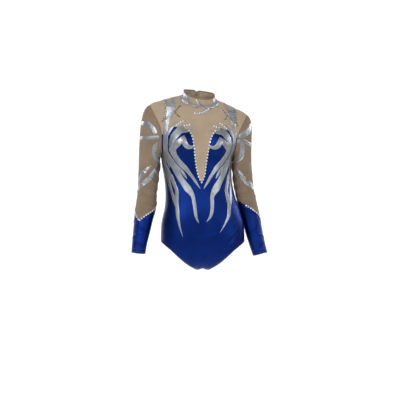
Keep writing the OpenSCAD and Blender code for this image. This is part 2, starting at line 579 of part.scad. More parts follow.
// Points a fixed pitch apart along a route
function spaced(route, pitch, first = 0) =
    let (lens = travel(route), total = lens[len(lens) - 1])
    [for (d = [first:pitch:total]) at_length(route, lens, d)];
function front_s(x, v) =
    let (st = smooth(body, v)) sign(x) * asin(min(1, (abs(x) / st[2]) ^ (roundness / 2))) / side_angle(v);
module front_stones(points, lift)
    for (p = points) {
        v = p[1];
        s = front_s(p[0], v);
        e = 0.03;
        n = unit(cross(torso_front(min(s + e, 1), v) - torso_front(max(s - e, -1), v),
            torso_front(s, v + 2) - torso_front(s, v - 2)));
        stone(torso_front(s, v) + n * lift, n);
    }
// Rows are routes of [x, cloth height] on the wearer's front
function sided(side, route) = [for (p = route) [side * p[0], p[1]]];
neck_route = [for (p = spline(neck_v, 3)) [p[0], p[1] + seam_z]];
module neckline_stones()
    color(crystal) {
        front_stones(spaced(neck_route, stone_pitch), silver_in + 0.1);
        front_stones(sided(right, spaced(neck_route, stone_pitch, stone_pitch)), silver_in + 0.1);
    }
shoulder_row = [[130, 668], [130, 640], [130, 618], [131, 600], [134, 587], [141, 570]];
chevron_row = [[80, 626], [92, 610], [98, 603], [90, 597], [82, 592]];
finger_rows = [[[92, 559], [78, 572], [60, 580]], [[64, 559], [36, 566]]];
module shoulder_stones(side)
    color(crystal) {
        front_stones(sided(side, spaced(shoulder_row, stone_pitch * 0.85)), silver_out);
        front_stones(sided(side, spaced(chevron_row, stone_pitch * 0.75)), mesh_out + 0.1);
    }
module bust_stones(side)
    color(crystal) for (row = finger_rows)
        front_stones(sided(side, spaced(row, stone_pitch * 0.85)), silver_out + 0.1);
module left_shoulder_stones() shoulder_stones(left);
module right_shoulder_stones() shoulder_stones(right);
module left_bust_stones() bust_stones(left);
module right_bust_stones() bust_stones(right);
tail_row = [[-26, 604], [-4, 606], [10, 612], [24, 624], [40, 672], [52, 692]];
fan_row = [[66, 740], [60, 728], [50, 718]];
module collar_stones()
    color(crystal) {
        front_stones(spaced(tail_row, stone_pitch * 0.8), silver_out + 0.4);
        for (side = [left, right])
            front_stones(sided(side, spaced(fan_row, stone_pitch * 0.7)), silver_out + 0.4);
    }
cuff_stone_span = 105;
module cuff_stones(side)
    color(crystal) {
        route = [for (off = [-cuff_stone_span:5:cuff_stone_span])
            let (a = cuff_turn(side) + off) [a, cuff_edge(side, a)]];
        edge = [for (q = route) sleeve_surface(side)(q[0], q[1])];
        lens = travel(edge);
        for (d = [0:stone_pitch * 0.85:lens[len(lens) - 1]]) {
            q = at_length(route, lens, d);
            p = sleeve_surface(side)(q[0], q[1]);
            n = unit(lifted(sleeve_surface(side), q[0], q[1], 1) - p);
            stone(p + n * (blue_out + 0.1), n);
        }
    }
module left_cuff_stones() cuff_stones(left);
module right_cuff_stones() cuff_stones(right);

// ---- Back zip ----
module zip_tape(side)
    color(nude) on_zip() mirror([side == left ? 0 : 1, 0, 0])
        block([tape_edge, tape_in, 0], [tape_edge + tape_w, tape_out, zip_len - 1]);
module zip_coil(side)
    color(nude) on_zip(1) mirror([side == left ? 0 : 1, 0, 0])
        translate([coil_in + coil_r, coil_y, 0]) cylinder(r = coil_r, h = coil_top - 1, $fn = 24);
module zip_tape_left() zip_tape(left);
module zip_tape_right() zip_tape(right);
module zip_coil_left() zip_coil(left);
module zip_coil_right() zip_coil(right);
module zip_top_stops()
    color(steel) for (k = [-1, 1]) on_zip(coil_top)
        translate([k * (coil_in + coil_r), coil_y, 0]) block([-1.1, -0.9, 0], [1.1, 1.3, 2.4]);
module zip_bottom_stop()
    color(steel) on_zip(-2.2) block([-2.6, 0.6, 0], [2.6, 3, 2.6]);
// Slider: two plates joined by a post between the coils, with flanges and a bridge for the pull
module along_x(r, len, center = false)
    rotate([0, 90, 0]) cylinder(r = r, h = len, center = center, $fn = 24);
module slider_plate(low, high)
    rotate([90, 0, 0]) translate([0, 0, -high]) linear_extrude(high - low)
        hull() {
            translate([0, slider_len * 0.78]) circle(d = slider_w, $fn = 32);
            translate([0, slider_len * 0.2]) circle(d = slider_w * 0.7, $fn = 32);
        }
module zip_slider()
    color(steel) on_zip(slider_rest) {
        slider_plate(3.1, 4.1);
        slider_plate(-1.5, -0.5);
        // post between the coils
        block([-0.35, -0.6, slider_len * 0.8], [0.35, 3.2, slider_len * 0.98]);
        for (k = [-1, 1]) mirror([k < 0 ? 1 : 0, 0, 0]) {
            block([flange_in, 1.2, slider_len * 0.45], [slider_w / 2 - 0.05, 3.2, slider_len * 0.9]);
            // ears that hold the pin of the pull
            difference() {
                block([1.5, 4, slider_len * 0.35], [2.3, pin_y + 1.1, slider_len * 0.65]);
                translate([0, pin_y, slider_len / 2]) along_x(pin_r, 5);
            }
        }
    }
module zip_pull_pin()
    color(steel) on_zip(slider_rest + slider_len / 2)
        translate([-2.3, pin_y, 0]) along_x(pin_r, 4.6);
pull_hole_r = pin_r + 0.08;
module zip_pull()
    color(steel) on_zip(slider_rest + slider_len / 2) translate([0, pin_y, 0])
        difference() {
            union() {
                along_x(1.15, 2.6, center = true);
                block([-1.3, -pull_t / 2, -8], [1.3, pull_t / 2, 0]);
                rotate([90, 0, 0]) linear_extrude(pull_t, center = true) hull() {
                    translate([0, -8.5]) circle(d = 3.4, $fn = 32);
                    translate([0, 3 - pull_len]) circle(d = 6, $fn = 32);
                }
            }
            along_x(pull_hole_r, 8, center = true);
            translate([0, 0, 3.4 - pull_len]) rotate([90, 0, 0])
                cylinder(d = 3, h = 4, center = true, $fn = 24);
        }
// Hook and eye above the slider, sewn to the inside of the tapes; the hook lies under the eye
wire_d = 0.8;
eye_y = tape_in - wire_d / 2;
hook_y = eye_y - 1;
module wire(len)
    cylinder(d = wire_d, h = len, $fn = 16);
module wire_bow(r, legs)
    rotate([90, 0, 0]) {
        rotate_extrude(angle = 180, $fn = 32) translate([r, 0]) circle(d = wire_d, $fn = 16);
        for (k = [-1, 1]) translate([k * r, 0, 0]) rotate([90, 0, 0]) wire(legs);
    }
module collar_hook()
    color(steel) on_zip(hook_at) translate([-0.6, hook_y, 0]) rotate([0, 90, 0]) {
        wire_bow(1.5, 4);
        for (k = [-1, 1]) translate([k * 1.5, 0, -3.6]) rotate([-90, 0, 0]) wire(tape_in - hook_y);
    }
module collar_eye()
    color(steel) on_zip(hook_at) translate([1.6, eye_y, 0]) rotate([0, -90, 0]) wire_bow(2, 4);

front_body_panel();
back_body_panel();
front_yoke_mesh();
back_yoke_left();
back_yoke_right();
collar_band();
collar_binding();
left_sleeve();
right_sleeve();
left_cuff();
right_cuff();
front_lining();
crotch_gusset();
left_leg_elastic();
right_leg_elastic();
left_wrist_hem();
right_wrist_hem();
left_side_seam();
right_side_seam();
left_armhole_seam();
right_armhole_seam();
left_bust_swirl();
right_bust_swirl();
left_flank_flames();
right_flank_flames();
left_shoulder_flame();
right_shoulder_flame();
left_collar_fan();
right_collar_fan();
left_sleeve_bands();
right_sleeve_bands();
left_sleeve_leaves();
right_sleeve_leaves();
neckline_stones();
left_cuff_stones();
right_cuff_stones();
left_shoulder_stones();
right_shoulder_stones();
left_bust_stones();
right_bust_stones();
collar_stones();
zip_tape_left();
zip_tape_right();
zip_coil_left();
zip_coil_right();
zip_top_stops();
zip_bottom_stop();
zip_slider();
zip_pull_pin();
zip_pull();
collar_hook();
collar_eye();
care_label();
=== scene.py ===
import math

import bmesh
import bpy
import numpy as np
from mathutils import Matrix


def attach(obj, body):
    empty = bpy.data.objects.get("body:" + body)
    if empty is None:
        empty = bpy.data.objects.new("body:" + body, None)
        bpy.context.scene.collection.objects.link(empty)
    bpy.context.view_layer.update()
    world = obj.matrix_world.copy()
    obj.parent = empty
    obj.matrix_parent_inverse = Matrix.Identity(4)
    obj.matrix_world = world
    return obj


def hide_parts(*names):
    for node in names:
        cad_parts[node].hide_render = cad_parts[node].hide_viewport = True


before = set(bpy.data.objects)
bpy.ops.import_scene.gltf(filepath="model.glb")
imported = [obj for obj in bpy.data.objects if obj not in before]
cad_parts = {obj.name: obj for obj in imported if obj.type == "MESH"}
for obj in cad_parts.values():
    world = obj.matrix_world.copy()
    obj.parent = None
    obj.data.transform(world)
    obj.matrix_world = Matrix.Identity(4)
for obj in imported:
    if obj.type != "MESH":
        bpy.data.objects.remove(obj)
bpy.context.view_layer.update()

# A long-sleeved gymnastics leotard, worn but with no wearer: cloth panels, appliques, stones, stitches, zip.
# Lengths are millimetres until a mesh is made. Shapes are laid out on a straight standing body
# (x across, z up from the crotch, the wearer faces -Y), then posed, and moved to the neck's origin.
MM = 0.001
NECK = np.array([-9.0, -2.0, 665.0])
LEFT, RIGHT = 1, -1
FRONT, BACK = -1, 1
SIDES = ((LEFT, "left"), (RIGHT, "right"))
rng = np.random.default_rng(7)

# ---------------------------------------------------------------- the body's shape
# Cross sections: height along the cloth, z, half width, depth of the front, depth of the back
BODY = [
    [0, 0, 150, 0, 0], [25, 6, 150, 24, 30], [50, 22, 151, 46, 62], [80, 47, 153, 66, 92],
    [110, 76, 155, 80, 108], [140, 106, 155, 89, 115], [180, 146, 154, 94, 113],
    [212, 178, 151.5, 96, 104], [257, 223, 140, 95, 88], [302, 268, 129.5, 90, 73],
    [354, 320, 124.5, 86, 65], [392, 358, 126, 88, 70], [422, 388, 129, 91, 77],
    [460, 426, 134, 95, 87], [500, 466, 157, 97, 98], [550, 516, 176, 93, 91.5],
    [590, 556, 183, 84, 82], [624, 598, 181, 75, 71.5], [670, 618, 140, 67, 65.5],
    [715, 634, 98, 62, 60.5], [754, 646, 63, 60, 57], [786, 665, 56, 56, 52.5]]
# How far the rings of the collar dip to the front and rise to the back, per mm of depth
DIP = [[0, 0], [600, 0], [670, 0.25], [754, 0.62], [786, 0.55], [800, 0.55]]
RISE = [[0, 0], [600, 0], [670, 0.1], [754, 0.25], [786, 0.25], [800, 0.25]]
# The stance: sideways shift, turn and shoulder tilt by height
SHIFT = [[0, 4], [105, 4], [223, 2], [268, -4], [320, -11], [358, -15], [388, -18], [426, -19],
         [480, -19], [672, -9], [700, -8]]
TURN = [[0, 0], [150, 0], [223, 3], [320, 7.5], [388, 10], [426, 10.5], [700, 10.5]]
TILT = [[0, 0], [440, 0], [480, 1.5], [590, 4.2], [640, 5], [700, 5]]
ROUNDNESS = 2.35
# Bust and seat: rise, place across, place up, half width, and half height above and below the middle
BUST_RISE, BUST_X, BUST_Z, BUST_HALF_W, BUST_UP, BUST_DOWN = 24, 74, 462, 46, 52, 40
SEAT_RISE, SEAT_X, SEAT_Z, SEAT_HALF_W, SEAT_HALF_H = 12, 70, 85, 55, 60
SEAM_Z = 34  # cloth height minus z above the hips
ARMPIT_V, SHOULDER_V, ARMHOLE_INSET = 460, 624, 0.64
COLLAR_V, TOP_V, LEG_TOP_V = 754, 786, 150
CROTCH_HALF_W, HIP_HALF_W, HIP_Z, SEAT_FULLNESS = 18, 154, 105, 1.6
CROTCH_NOTCH = 6  # rise of the cloth's edge in the middle of the crotch
# Sleeves by height: z, x, y, radius across, radius fore and aft
ARMS = {
    RIGHT: [[66, -232.5, -58, 24.5, 25], [103, -228.5, -51, 26.5, 27], [148, -221.5, -42, 30, 31],
            [193, -215, -32, 34, 35], [238, -207, -24, 37, 38], [298, -202, -20, 34.5, 38],
            [358, -197, -21, 37.5, 42], [400, -194.5, -22, 38.5, 43]],
    LEFT: [[60, 219, 0, 26.5, 25], [103, 207, 9, 28.5, 28], [148, 196, 18, 31, 31],
           [193, 187, 25, 33, 35], [238, 175.5, 30, 34.5, 38], [298, 162, 34, 35, 38],
           [358, 155, 35, 36, 42], [400, 152.5, 35, 36, 43]]}
CAP_END_Z = 400  # where the cap of a sleeve ends and its straight part starts
CAP_UNDER, CAP_OVER = 12, 52.5  # how far the cap bulges at the armpit and over the top
CAP_EASE = 1.35  # slack of the cap
CUFF_TIP = {LEFT: 8, RIGHT: 70}  # angle of the V tip of the cuff, from the outside towards the front
CUFF_TIP_Z, CUFF_RISE, CUFF_RISE_END = 176, 0.65, 130
# Layers: heights above the skin
SKIN_GAP, BLUE_OUT, MESH_OUT = 0.6, 1.4, 1.2
SILVER_IN, SILVER_OUT = 1.5, 1.95
INNER_IN, INNER_OUT = -0.25, 0.5
SUNK = 0.05  # how far a stitch sinks into the cloth


def hermite(u, start, lead, end, trail):
    """A cubic from start to end that leaves along lead and arrives along trail."""
    return ((2 * u ** 3 - 3 * u ** 2 + 1) * start + (u ** 3 - 2 * u ** 2 + u) * lead
            + (3 * u ** 2 - 2 * u ** 3) * end + (u ** 3 - u ** 2) * trail)


def smooth(table, x):
    """The columns after the first, as smooth curves of the first, at every x."""
    table = np.asarray(table, float)
    x = np.asarray(x, float)
    knots, values = table[:, 0], table[:, 1:]
    low = np.vstack([table[:1], table[:-1]])
    high = np.vstack([table[1:], table[-1:]])
    slopes = (high[:, 1:] - low[:, 1:]) / (high[:, :1] - low[:, :1])
    i = np.clip(np.searchsorted(knots, x, side="right"), 1, len(knots) - 1)
    h = (knots[i] - knots[i - 1])[..., None]
    u = np.clip((x[..., None] - knots[i - 1][..., None]) / h, 0, 1)
    return hermite(u, values[i - 1], h * slopes[i - 1], values[i], h * slopes[i])


def spline(points, steps):
    """A curve through given points, with so many steps between neighbours."""
    p = np.asarray(points, float)
    padded = np.vstack([p[:1], p, p[-1:]])
    u = (np.arange(steps) / steps)[None, :, None]
    p0, p1, p2, p3 = (padded[k:len(p) - 1 + k][:, None] for k in range(4))
    curve = 0.5 * (2 * p1 + (p2 - p0) * u + (2 * p0 - 5 * p1 + 4 * p2 - p3) * u ** 2
                   + (3 * p1 - p0 - 3 * p2 + p3) * u ** 3)
    return np.vstack([curve.reshape(-1, p.shape[1]), p[-1:]])


def unit(v):
    return v / np.maximum(np.linalg.norm(v, axis=-1, keepdims=True), 1e-12)


def vec(*parts):
    return np.stack(np.broadcast_arrays(*parts), axis=-1).astype(float)


def hill(x, z, cx, cz, rx, rz):
    return np.exp(-((x - cx) / rx) ** 2 - ((z - cz) / rz) ** 2)


def bust(x, z):
    reach = np.where(z > BUST_Z, BUST_UP, BUST_DOWN)
    return BUST_RISE * (hill(x, z, BUST_X, BUST_Z, BUST_HALF_W, reach)
                        + hill(x, z, -BUST_X, BUST_Z, BUST_HALF_W, reach))


def seat(x, z):
    return SEAT_RISE * (hill(x, z, SEAT_X, SEAT_Z, SEAT_HALF_W, SEAT_HALF_H)
                        + hill(x, z, -SEAT_X, SEAT_Z, SEAT_HALF_W, SEAT_HALF_H))


def side_angle(v):
    """Angle round the section at which the armhole cuts it."""
    c = (2 * v - ARMPIT_V - SHOULDER_V) / (SHOULDER_V - ARMPIT_V)
    inset = ARMHOLE_INSET * np.sqrt(np.maximum(0, 1 - c * c))
    return np.where(np.abs(c) < 1, np.arccos(inset ** (ROUNDNESS / 2)), math.pi / 2)


def straight(face, s, v):
    """A point of the straight body: s runs -1 to 1 across the cloth, v runs up it."""
    st = smooth(BODY, v)
    z, half_w, front, back = (st[..., k] for k in range(4))
    a = s * side_angle(v)
    x = half_w * np.sign(a) * np.abs(np.sin(a)) ** (2 / ROUNDNESS)
    c = np.abs(np.cos(a)) ** (2 / ROUNDNESS)
    if face == FRONT:
        deep, swell, lift = -front * c, -bust(x, z) * np.minimum(1, c * 1.5), smooth(DIP, v)[..., 0]
    else:
        deep, swell, lift = back * c, seat(x, z) * c, smooth(RISE, v)[..., 0]
    notch = CROTCH_NOTCH * np.exp(-(x / 9) ** 2 - v / 25)
    return vec(x, deep + swell, z + lift * deep + notch)


def posed(p):
    """The stance of the wearer, with the origin at the neck."""
    x, y, z = p[..., 0], p[..., 1], p[..., 2]
    a = np.radians(smooth(TURN, z)[..., 0])
    tilt = np.tan(np.radians(smooth(TILT, z)[..., 0]))
    moved = x * np.cos(a) - y * np.sin(a) + smooth(SHIFT, z)[..., 0]
    return vec(moved, x * np.sin(a) + y * np.cos(a), z - x * tilt) - NECK


def torso(face, s, v):
    return posed(straight(face, s, v))


def armhole(side, angle):
    """Round the armhole: 0 is its top, 90 the front, 180 the armpit."""
    v = (ARMPIT_V + SHOULDER_V) / 2 + (SHOULDER_V - ARMPIT_V) / 2 * np.cos(angle)
    ends = np.full_like(v, side)
    return np.where((np.sin(angle) >= 0)[..., None], torso(FRONT, ends, v), torso(BACK, ends, v))


def arm_z(side, t):
    return CAP_END_Z + (ARMS[side][0][0] - CAP_END_Z) * t


def arm_ring(side, angle, t):
    z = arm_z(side, t)
    st, up, low = (smooth(ARMS[side], z + k) for k in (0, 1, -1))
    d = unit(vec(low[..., 0] - up[..., 0], low[..., 1] - up[..., 1], -2))
    out = unit(vec(side, 0, 0) - d * (side * d[..., :1]))
    forward = np.cross(out, d)
    forward = forward * -np.sign(forward[..., 1:2])
    middle = vec(st[..., 0], st[..., 1], z)
    return (middle + out * (st[..., 2] * np.cos(angle))[..., None]
            + forward * (st[..., 3] * np.sin(angle))[..., None] - NECK)


def armhole_out(side):
    top, front, pit, back = armhole(side, np.radians([0.0, 90.0, 180.0, 270.0]))
    n = unit(np.cross(top - pit, front - back))
    return n * np.sign(n[0] * side)


HOLE_OUT = {side: armhole_out(side) for side in (LEFT, RIGHT)}


def sleeve(side, angle, t):
    """The sleeve's surface: t is -1 at the armhole, 0 where the cap ends and 1 at the wrist."""
    start, end = armhole(side, angle), arm_ring(side, angle, np.zeros_like(t))
    lead = (CAP_UNDER + CAP_OVER * (1 + np.cos(angle)))[..., None] * HOLE_OUT[side]
    down = unit(arm_ring(side, angle, np.full_like(t, 0.02)) - end)
    trail = down * np.linalg.norm(end - start, axis=-1, keepdims=True) * CAP_EASE
    cap = hermite((t + 1)[..., None], start, lead, end, trail)
    return np.where((t < 0)[..., None], cap, arm_ring(side, angle, np.maximum(t, 0)))


def sleeve_t(side, z):
    return (CAP_END_Z - z) / (CAP_END_Z - ARMS[side][0][0])


def cuff_edge(side, angle):
    off = np.abs((np.degrees(angle) - CUFF_TIP[side] + 540) % 360 - 180)
    return sleeve_t(side, CUFF_TIP_Z + CUFF_RISE * np.minimum(off, CUFF_RISE_END))


# ---------------------------------------------------------------- folds
# Soft folds of the cloth: where (x, z from the crotch), which way they run in degrees, half length,
# half width and height
TORSO_FOLDS = {
    FRONT: [(96, 88, 42, 34, 4.5, 1.5), (82, 64, 40, 30, 4, 1.2), (112, 108, 44, 24, 4.5, 1.1),
            (106, 70, 36, 20, 4, 0.9), (-92, 84, 140, 26, 5, 0.7), (116, 136, 48, 26, 5, 0.9),
            (98, 246, -14, 26, 5, 0.6), (-128, 214, 8, 24, 4.5, 0.6),
            (-112, 262, 16, 22, 5, 0.6), (24, 128, 12, 46, 8, 0.5), (-30, 96, -10, 44, 8, 0.5),
            (6, 40, 90, 30, 6, 0.5), (-112, 452, 60, 22, 5, 0.8), (88, 438, 118, 22, 5, 0.8),
            (-120, 560, 52, 26, 5, 0.7), (112, 548, 126, 26, 5, 0.7)],
    BACK: [(-10, 290, 2, 62, 5, 0.9), (-16, 312, -4, 56, 5, 0.9), (-4, 268, 5, 52, 5, 0.7),
           (60, 66, 150, 40, 5, 0.8), (-52, 66, 30, 40, 5, 0.8), (-100, 470, 66, 26, 5, 0.9),
           (76, 458, 114, 26, 5, 0.9), (4, 190, 88, 40, 7, 0.6), (40, 560, 24, 30, 6, 0.5)]}
# On the sleeves: height, angle round the arm, drop in mm per degree, half length in degrees, half width
# and height
SLEEVE_FOLDS = {
    RIGHT: [(330, 130, 0.5, 70, 6, 1.5), (300, 110, 0.35, 70, 5, 1.4), (272, 100, 0.2, 75, 5, 1.5),
            (246, 120, -0.1, 70, 5, 1.2), (222, 100, -0.3, 60, 5, 1.0), (360, 150, 0.7, 60, 7, 1.3),
            (196, 60, -0.4, 60, 5, 0.7), (286, 20, 0.3, 50, 6, 0.8), (150, 90, 0.3, 80, 5, 0.6),
            (120, 30, -0.2, 70, 5, 0.5), (92, 110, 0.2, 70, 4, 0.5), (405, 160, 0.9, 50, 7, 1.6),
            (300, -120, 0.3, 70, 6, 1.0), (262, -110, -0.2, 70, 6, 1.0)],
    LEFT: [(340, 120, 0.5, 70, 6, 1.4), (312, 105, 0.4, 70, 5, 1.4), (280, 100, 0.2, 75, 5, 1.5),
           (252, 115, -0.1, 70, 5, 1.3), (226, 90, -0.3, 60, 5, 1.0), (372, 140, 0.8, 60, 7, 1.5),
           (200, 50, -0.4, 60, 5, 0.7), (262, 20, 0.4, 50, 6, 0.9), (150, 80, 0.3, 80, 5, 0.7),
           (116, 20, -0.2, 70, 5, 0.7), (84, 70, 0.2, 70, 4, 0.7), (416, 150, 1.0, 50, 7, 1.6),
           (300, -120, 0.3, 70, 6, 1.0), (262, -110, -0.2, 70, 6, 1.0)]}

TORSO_DEPTH, SLEEVE_DEPTH = 1.5, 2.3  # how strong the folds are


def ridge(along, across, half_len, half_w):
    """A smooth fold with a shallow valley beside it."""
    r = across / half_w
    return (1 - 0.8 * r ** 2) * np.exp(-r ** 2 - (along / half_len) ** 4)


def torso_folds(face, p):
    x, z = p[..., 0] + NECK[0], p[..., 2] + NECK[2]
    height = 0.25 * np.sin(x / 23 + z / 41) * np.sin(z / 29 - x / 57)
    for cx, cz, angle, half_len, half_w, rise in TORSO_FOLDS[face]:
        c, s = math.cos(math.radians(angle)), math.sin(math.radians(angle))
        along, across = (x - cx) * c + (z - cz) * s, (z - cz) * c - (x - cx) * s
        bow = along ** 2 / (6 * half_len)
        height = height + TORSO_DEPTH * rise * ridge(along, across - bow, half_len, half_w)
    return height


def sleeve_folds(side, angle, t):
    z = np.where(t < 0, CAP_END_Z - t * 150, arm_z(side, t))
    degrees = np.degrees(angle)
    fade = np.clip((t + 1) / 0.3, 0, 1) * np.clip((1 - t) / 0.05, 0, 1)
    height = 0.2 * np.sin(z / 13 + np.sin(angle) * 2) * np.cos(2 * angle + z / 60)
    for cz, centre, drop, half_len, half_w, rise in SLEEVE_FOLDS[side]:
        off = (degrees - centre + 540) % 360 - 180
        height = height + SLEEVE_DEPTH * rise * ridge(off, z - cz + drop * off, half_len, half_w)
    return height * fade


# ---------------------------------------------------------------- skins: points of the posed cloth
STEP = 0.012  # how far apart the points are that a direction is taken from


def torso_skin(face, s, v):
    """Points of the front or back with its folds, and the way out of the cloth there."""
    s, v = np.broadcast_arrays(np.asarray(s, float), np.asarray(v, float))
    across = torso(face, np.minimum(s + STEP, 1), v) - torso(face, np.maximum(s - STEP, -1), v)
    n = unit(np.cross(across, torso(face, s, v + 2) - torso(face, s, v - 2))) * -face
    p = torso(face, s, v)
    # the folds fade out at the seams, so that the panels still meet there
    fade = np.clip((1 - np.abs(s)) / 0.08, 0, 1) * np.clip((TOP_V - 60 - v) / 60, 0, 1)
    return p + n * (torso_folds(face, p) * fade)[..., None], n


def sleeve_skin(side, angle, t):
    angle, t = np.broadcast_arrays(np.asarray(angle, float), np.asarray(t, float))
    round_it = sleeve(side, angle + STEP, t) - sleeve(side, angle - STEP, t)
    n = unit(np.cross(round_it, sleeve(side, angle, t + STEP) - sleeve(side, angle, t - STEP))) * side
    p = sleeve(side, angle, t)
    return p + n * sleeve_folds(side, angle, t)[..., None], n


def hoop_skin(angle, v):
    """Right round the body: 0 is the middle of the front, 90 the wearer's left, 180 the middle of the back."""
    angle, v = np.broadcast_arrays(np.asarray(angle, float), np.asarray(v, float))
    degrees = np.degrees(angle)
    ahead = np.abs(degrees) <= 90
    s_back = np.sign(degrees) * (180 - np.abs(degrees)) / 90
    front, front_n = torso_skin(FRONT, np.clip(degrees / 90, -1, 1), v)
    back, back_n = torso_skin(BACK, np.clip(s_back, -1, 1), v)
    return np.where(ahead[..., None], front, back), np.where(ahead[..., None], front_n, back_n)


def raised(skin, height):
    """A skin lifted by some height."""
    p, n = skin
    return p + n * height, n


def leg_z(x, face):
    u = np.maximum(0, np.abs(x) - CROTCH_HALF_W) / (HIP_HALF_W - CROTCH_HALF_W)
    return HIP_Z * (u if face == FRONT else u ** SEAT_FULLNESS)


def leg_v(s, face):
    """Height along the cloth where a column meets the leg line, by halving."""
    s = np.abs(np.asarray(s, float))
    low, high = np.zeros_like(s), np.full_like(s, LEG_TOP_V)
    for _ in range(18):
        mid = (low + high) / 2
        above = smooth(BODY, mid)[..., 0] > leg_z(straight(face, s, mid)[..., 0], face)
        low, high = np.where(above, low, mid), np.where(above, mid, high)
    crotch_s = math.asin((CROTCH_HALF_W / BODY[0][2]) ** (ROUNDNESS / 2)) / (math.pi / 2)
    return np.where(s <= crotch_s, 0, high)


def row_s(x, v):
    """Place across the front of the cloth of a point x of the straight body at height v."""
    share = np.minimum(1, np.abs(x) / smooth(BODY, v)[..., 1]) ** (ROUNDNESS / 2)
    return np.sign(x) * np.arcsin(share) / side_angle(v)


# ---------------------------------------------------------------- flat patterns
def mirrored(side, spine):
    """A flame's spine on one side; on the wearer's left the low tails are drawn in and up."""
    p = np.array([q[:3] for q in spine], float)
    drop = np.maximum(0, 200 - p[:, 1]) * (side == LEFT)
    return np.stack([side * (p[:, 0] - 0.1 * drop), p[:, 1] + 0.22 * drop, p[:, 2]], axis=1)


def nearest(x, z, a, d):
    """Share of the way along the segments from a by d that is nearest to each point, and how far off it is."""
    share = (x - a[..., 0]) * d[..., 0] + (z - a[..., 1]) * d[..., 1]
    share = np.clip(share / np.maximum(d[..., 0] ** 2 + d[..., 1] ** 2, 1e-9), 0, 1)
    return share, np.hypot(x - a[..., 0] - share * d[..., 0], z - a[..., 1] - share * d[..., 1])


def stroke_inside(x, z, spine, steps=6):
    """How far inside a stroke of changing width each point lies; below zero it is outside."""
    curve = spline(spine, steps)
    inside = np.full(x.shape, -99.0)
    reach = curve[:, 2].max() / 2 + 8
    near = ((x > curve[:, 0].min() - reach) & (x < curve[:, 0].max() + reach)
            & (z > curve[:, 1].min() - reach) & (z < curve[:, 1].max() + reach))
    px, pz = x[near][:, None], z[near][:, None]
    best = np.full(px.shape[0], -99.0)
    for k in range(0, len(curve) - 1, 16):
        part = curve[k:k + 17]
        a, d = part[:-1], part[1:] - part[:-1]
        share, off = nearest(px, pz, a, d)
        best = np.maximum(best, ((a[:, 2] + share * d[:, 2]) / 2 - off).max(axis=1))
    inside[near] = best
    return inside


def strokes_inside(x, z, spines):
    return np.max([stroke_inside(x, z, spine) for spine in spines], axis=0)


def polygon_inside(x, z, outline):
    """How far inside a closed outline each point lies; below zero it is outside."""
    points = np.asarray(outline, float)
    best = np.full(x.shape, 1e9)
    odd = np.zeros(x.shape, bool)
    for a, b in zip(points, np.roll(points, -1, axis=0)):
        d = b - a
        best = np.minimum(best, nearest(x, z, a, d)[1])
        if a[1] != b[1]:
            crosses = (a[1] > z) != (b[1] > z)
            odd ^= crosses & (x < a[0] + (z - a[1]) * d[0] / d[1])
    return np.where(odd, best, -best)


# Half of the V neckline from its tip up, and the top edge of the blue from there to the armhole
NECK_V = [[0, 322], [10, 342], [16, 370], [21, 402], [25.5, 436], [31, 468], [38, 492], [50, 513]]
BLUE_TOP = [[50, 513], [64, 508], [78, 512], [92, 521], [106, 516], [122, 503], [138, 495], [150, 491]]
BACK_TOP = [[0, 452], [40, 460], [80, 478], [120, 490], [150, 491]]
FAR = 400  # well outside the body


def closed_below(half):
    return np.vstack([half, [[FAR, half[-1][1]], [FAR, -FAR], [-FAR, -FAR], [-FAR, half[0][1]]]])


BLUE_HALF = np.vstack([spline(NECK_V, 6), spline(BLUE_TOP, 5)[1:]])
BACK_HALF = spline(BACK_TOP, 8)


def blue_inside(x, z):
    return polygon_inside(np.abs(x), z, closed_below(BLUE_HALF))


def back_blue_inside(x, z):
    return polygon_inside(np.abs(x), z, closed_below(BACK_HALF))


# Flames: spines of x, z and width on the straight body
BUST_FLAMES = [
    # Long arc from the neckline over the bust and down to the waist
    [[21, 512, 0.5], [40, 511, 7], [60, 508, 13], [80, 508.5, 24], [97, 490, 24], [104, 476, 19],
     [107.5, 463, 16], [103, 449, 22], [101, 438, 20], [96, 426, 17], [88, 413, 17], [80, 401, 18],
     [69, 389, 18], [56.5, 376, 17], [45, 361, 13], [32, 343, 10.5], [22, 326, 8.5], [12.5, 311, 5],
     [5, 299, 0.5]],
    # Hook under it, up to its peak and down to the neckline
    [[99, 452, 22], [86, 465, 21], [76, 475, 18], [70, 482, 12], [65, 489, 3]],
    [[67, 487, 5], [66, 477, 15], [64, 466, 19], [55, 454.5, 17], [43, 451, 12.5], [32, 453.5, 8],
     [22, 458, 0.5]],
    # Two fingers that reach up onto the mesh
    [[88, 512, 12], [75, 520, 10], [58, 527.5, 7], [37, 532, 1]],
    [[122, 492, 8], [115, 507, 10], [105, 521, 9], [94, 531, 8], [80, 538, 6], [60, 545, 1]]]
